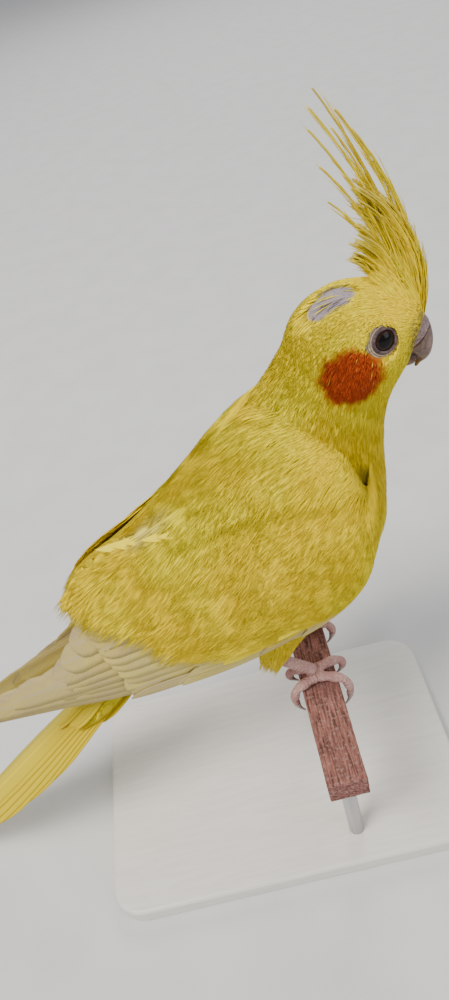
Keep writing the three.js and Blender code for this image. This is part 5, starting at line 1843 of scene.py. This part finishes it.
class COCKATIEL_OT_perch(bpy.types.Operator):
    """Cut the rough batten and stand it on its plain display stand"""

    bl_idname = "cockatiel.perch"
    bl_label = "Perch and stand"

    def execute(self, context):
        looks = context.scene.cockatiel_colours
        self.batten(looks)
        board, tree, shader = new_material("painted_board", 0.42, Coat_Weight=0.1, Coat_Roughness=0.35)
        brush = speckle(tree, stretched(tree, place_on(tree), (0.8, 8.0, 8.0)), 60.0, 6.0)
        colour = blend_colour(tree, ramp(tree, brush, 0.3, 0.7), toned(looks.board, 0.93), looks.board)
        paint(tree, shader, colour, brush, 0.0001, 0.35)
        copy_node("stand_board", "stand_base", board, "base_wood", bevel=0.0004, shade=False)
        steel, tree, shader = new_material("satin_steel", 0.32, Metallic=1.0)
        lines = speckle(tree, stretched(tree, place_on(tree), (0.6, 0.6, 30.0)), 120.0, 5.0)
        colour = blend_colour(tree, ramp(tree, lines, 0.3, 0.7), (0.42, 0.42, 0.43), (0.56, 0.56, 0.58))
        paint(tree, shader, colour, lines, 0.00004, 0.4)
        for end in ("front", "back"):
            self.rod(f"stand_rod_{end}", steel)
        return {"FINISHED"}

    def batten(self, looks):
        """The rough-sawn batten in the place of its solid, with fibres and saw marks."""
        made, tree, shader = new_material("rough_sawn_wood", 0.88, Specular_IOR_Level=0.2)
        place = place_on(tree)
        grain = speckle(tree, stretched(tree, place, (9.0, 0.7, 9.0)), 160.0, 8.0)
        dust = speckle(tree, place, 900.0, 6.0)
        dark, light = toned(looks.batten, 0.45), toned(looks.batten, 2.0)
        colour = blend_colour(tree, ramp(tree, grain, 0.3, 0.7), dark, light)
        colour = blend_colour(tree, ramp(tree, dust, 0.5, 0.7, 0.0, 0.6), colour, (0.37, 0.23, 0.20))
        paint(tree, shader, colour, maths(tree, "ADD", grain, times(tree, dust, 0.6)), 0.0006, 0.9)
        low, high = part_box("perch")
        bm = bmesh.new()
        bmesh.ops.create_cube(bm, size=1.0)
        bmesh.ops.scale(bm, vec=high - low, verts=bm.verts)
        round_edges(bm, list(bm.edges), 0.0007, 2)
        long_edges = [e for e in bm.edges if e.calc_length() > 0.05]
        bmesh.ops.subdivide_edges(bm, edges=long_edges, cuts=110)
        wide_edges = [e for e in bm.edges if e.calc_length() > 0.004]
        bmesh.ops.subdivide_edges(bm, edges=wide_edges, cuts=9, use_grid_fill=True)
        bmesh.ops.translate(bm, vec=(high + low) / 2, verts=bm.verts)
        bm.normal_update()
        for vertex in bm.verts:
            at = vertex.co
            rough = noise.noise(Vector((at.x * 500, at.y * 60, at.z * 500)))
            rough += 0.5 * noise.noise(Vector((at.x * 1500, at.y * 400, at.z * 1500)))
            vertex.co -= vertex.normal * 0.00022 * (0.5 + rough)
        link_piece("perch_batten", mesh_of(bm, "perch_batten", False), made, "perch_wood", ("perch",))

    def rod(self, node, material):
        """A turned steel rod in the place of its solid."""
        low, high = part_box(node)
        size = high - low
        bm = bmesh.new()
        bmesh.ops.create_cone(bm, cap_ends=True, segments=64, radius1=size.x / 2, radius2=size.x / 2,
                              depth=size.z)
        round_edges(bm, [e for e in bm.edges if abs(e.verts[0].co.z - e.verts[1].co.z) < 1e-7], 0.0003, 2)
        bmesh.ops.translate(bm, vec=(low + high) / 2, verts=bm.verts)
        return link_piece(f"{node}_turned", mesh_of(bm, f"{node}_turned"), material, "stand_steel", (node,))


class COCKATIEL_PT_panel(bpy.types.Panel):
    """Lists the colours, the coat's numbers and every step"""

    bl_idname = "COCKATIEL_PT_panel"
    bl_label = "Perched Cockatiel"
    bl_space_type = "VIEW_3D"
    bl_region_type = "UI"
    bl_category = "Cockatiel"

    def draw(self, context):
        for group in (context.scene.cockatiel_colours, context.scene.cockatiel_coat):
            for key in group.__annotations__:
                self.layout.prop(group, key)
        for step in STEPS:
            self.layout.operator(step.bl_idname)


STEPS = (COCKATIEL_OT_stage, COCKATIEL_OT_skin, COCKATIEL_OT_plumage, COCKATIEL_OT_eyes, COCKATIEL_OT_bill,
         COCKATIEL_OT_crest, COCKATIEL_OT_wings, COCKATIEL_OT_tail, COCKATIEL_OT_legs, COCKATIEL_OT_perch)
CLASSES = (CockatielColours, CockatielCoat, *STEPS, COCKATIEL_PT_panel)


def register():
    """Makes the panel, the settings and the steps known to Blender."""
    for made in CLASSES:
        bpy.utils.register_class(made)
    bpy.types.Scene.cockatiel_colours = PointerProperty(type=CockatielColours)
    bpy.types.Scene.cockatiel_coat = PointerProperty(type=CockatielCoat)


def unregister():
    """Takes them away again."""
    del bpy.types.Scene.cockatiel_coat
    del bpy.types.Scene.cockatiel_colours
    for made in reversed(CLASSES):
        bpy.utils.unregister_class(made)


def main():
    """Builds the whole model."""
    register()
    steps = bpy.ops.cockatiel
    for step in (steps.stage, steps.skin, steps.plumage, steps.eyes, steps.bill, steps.crest, steps.wings,
                 steps.tail, steps.legs, steps.perch):
        step()
    bpy.context.view_layer.update()


if __name__ == "__main__":
    main()
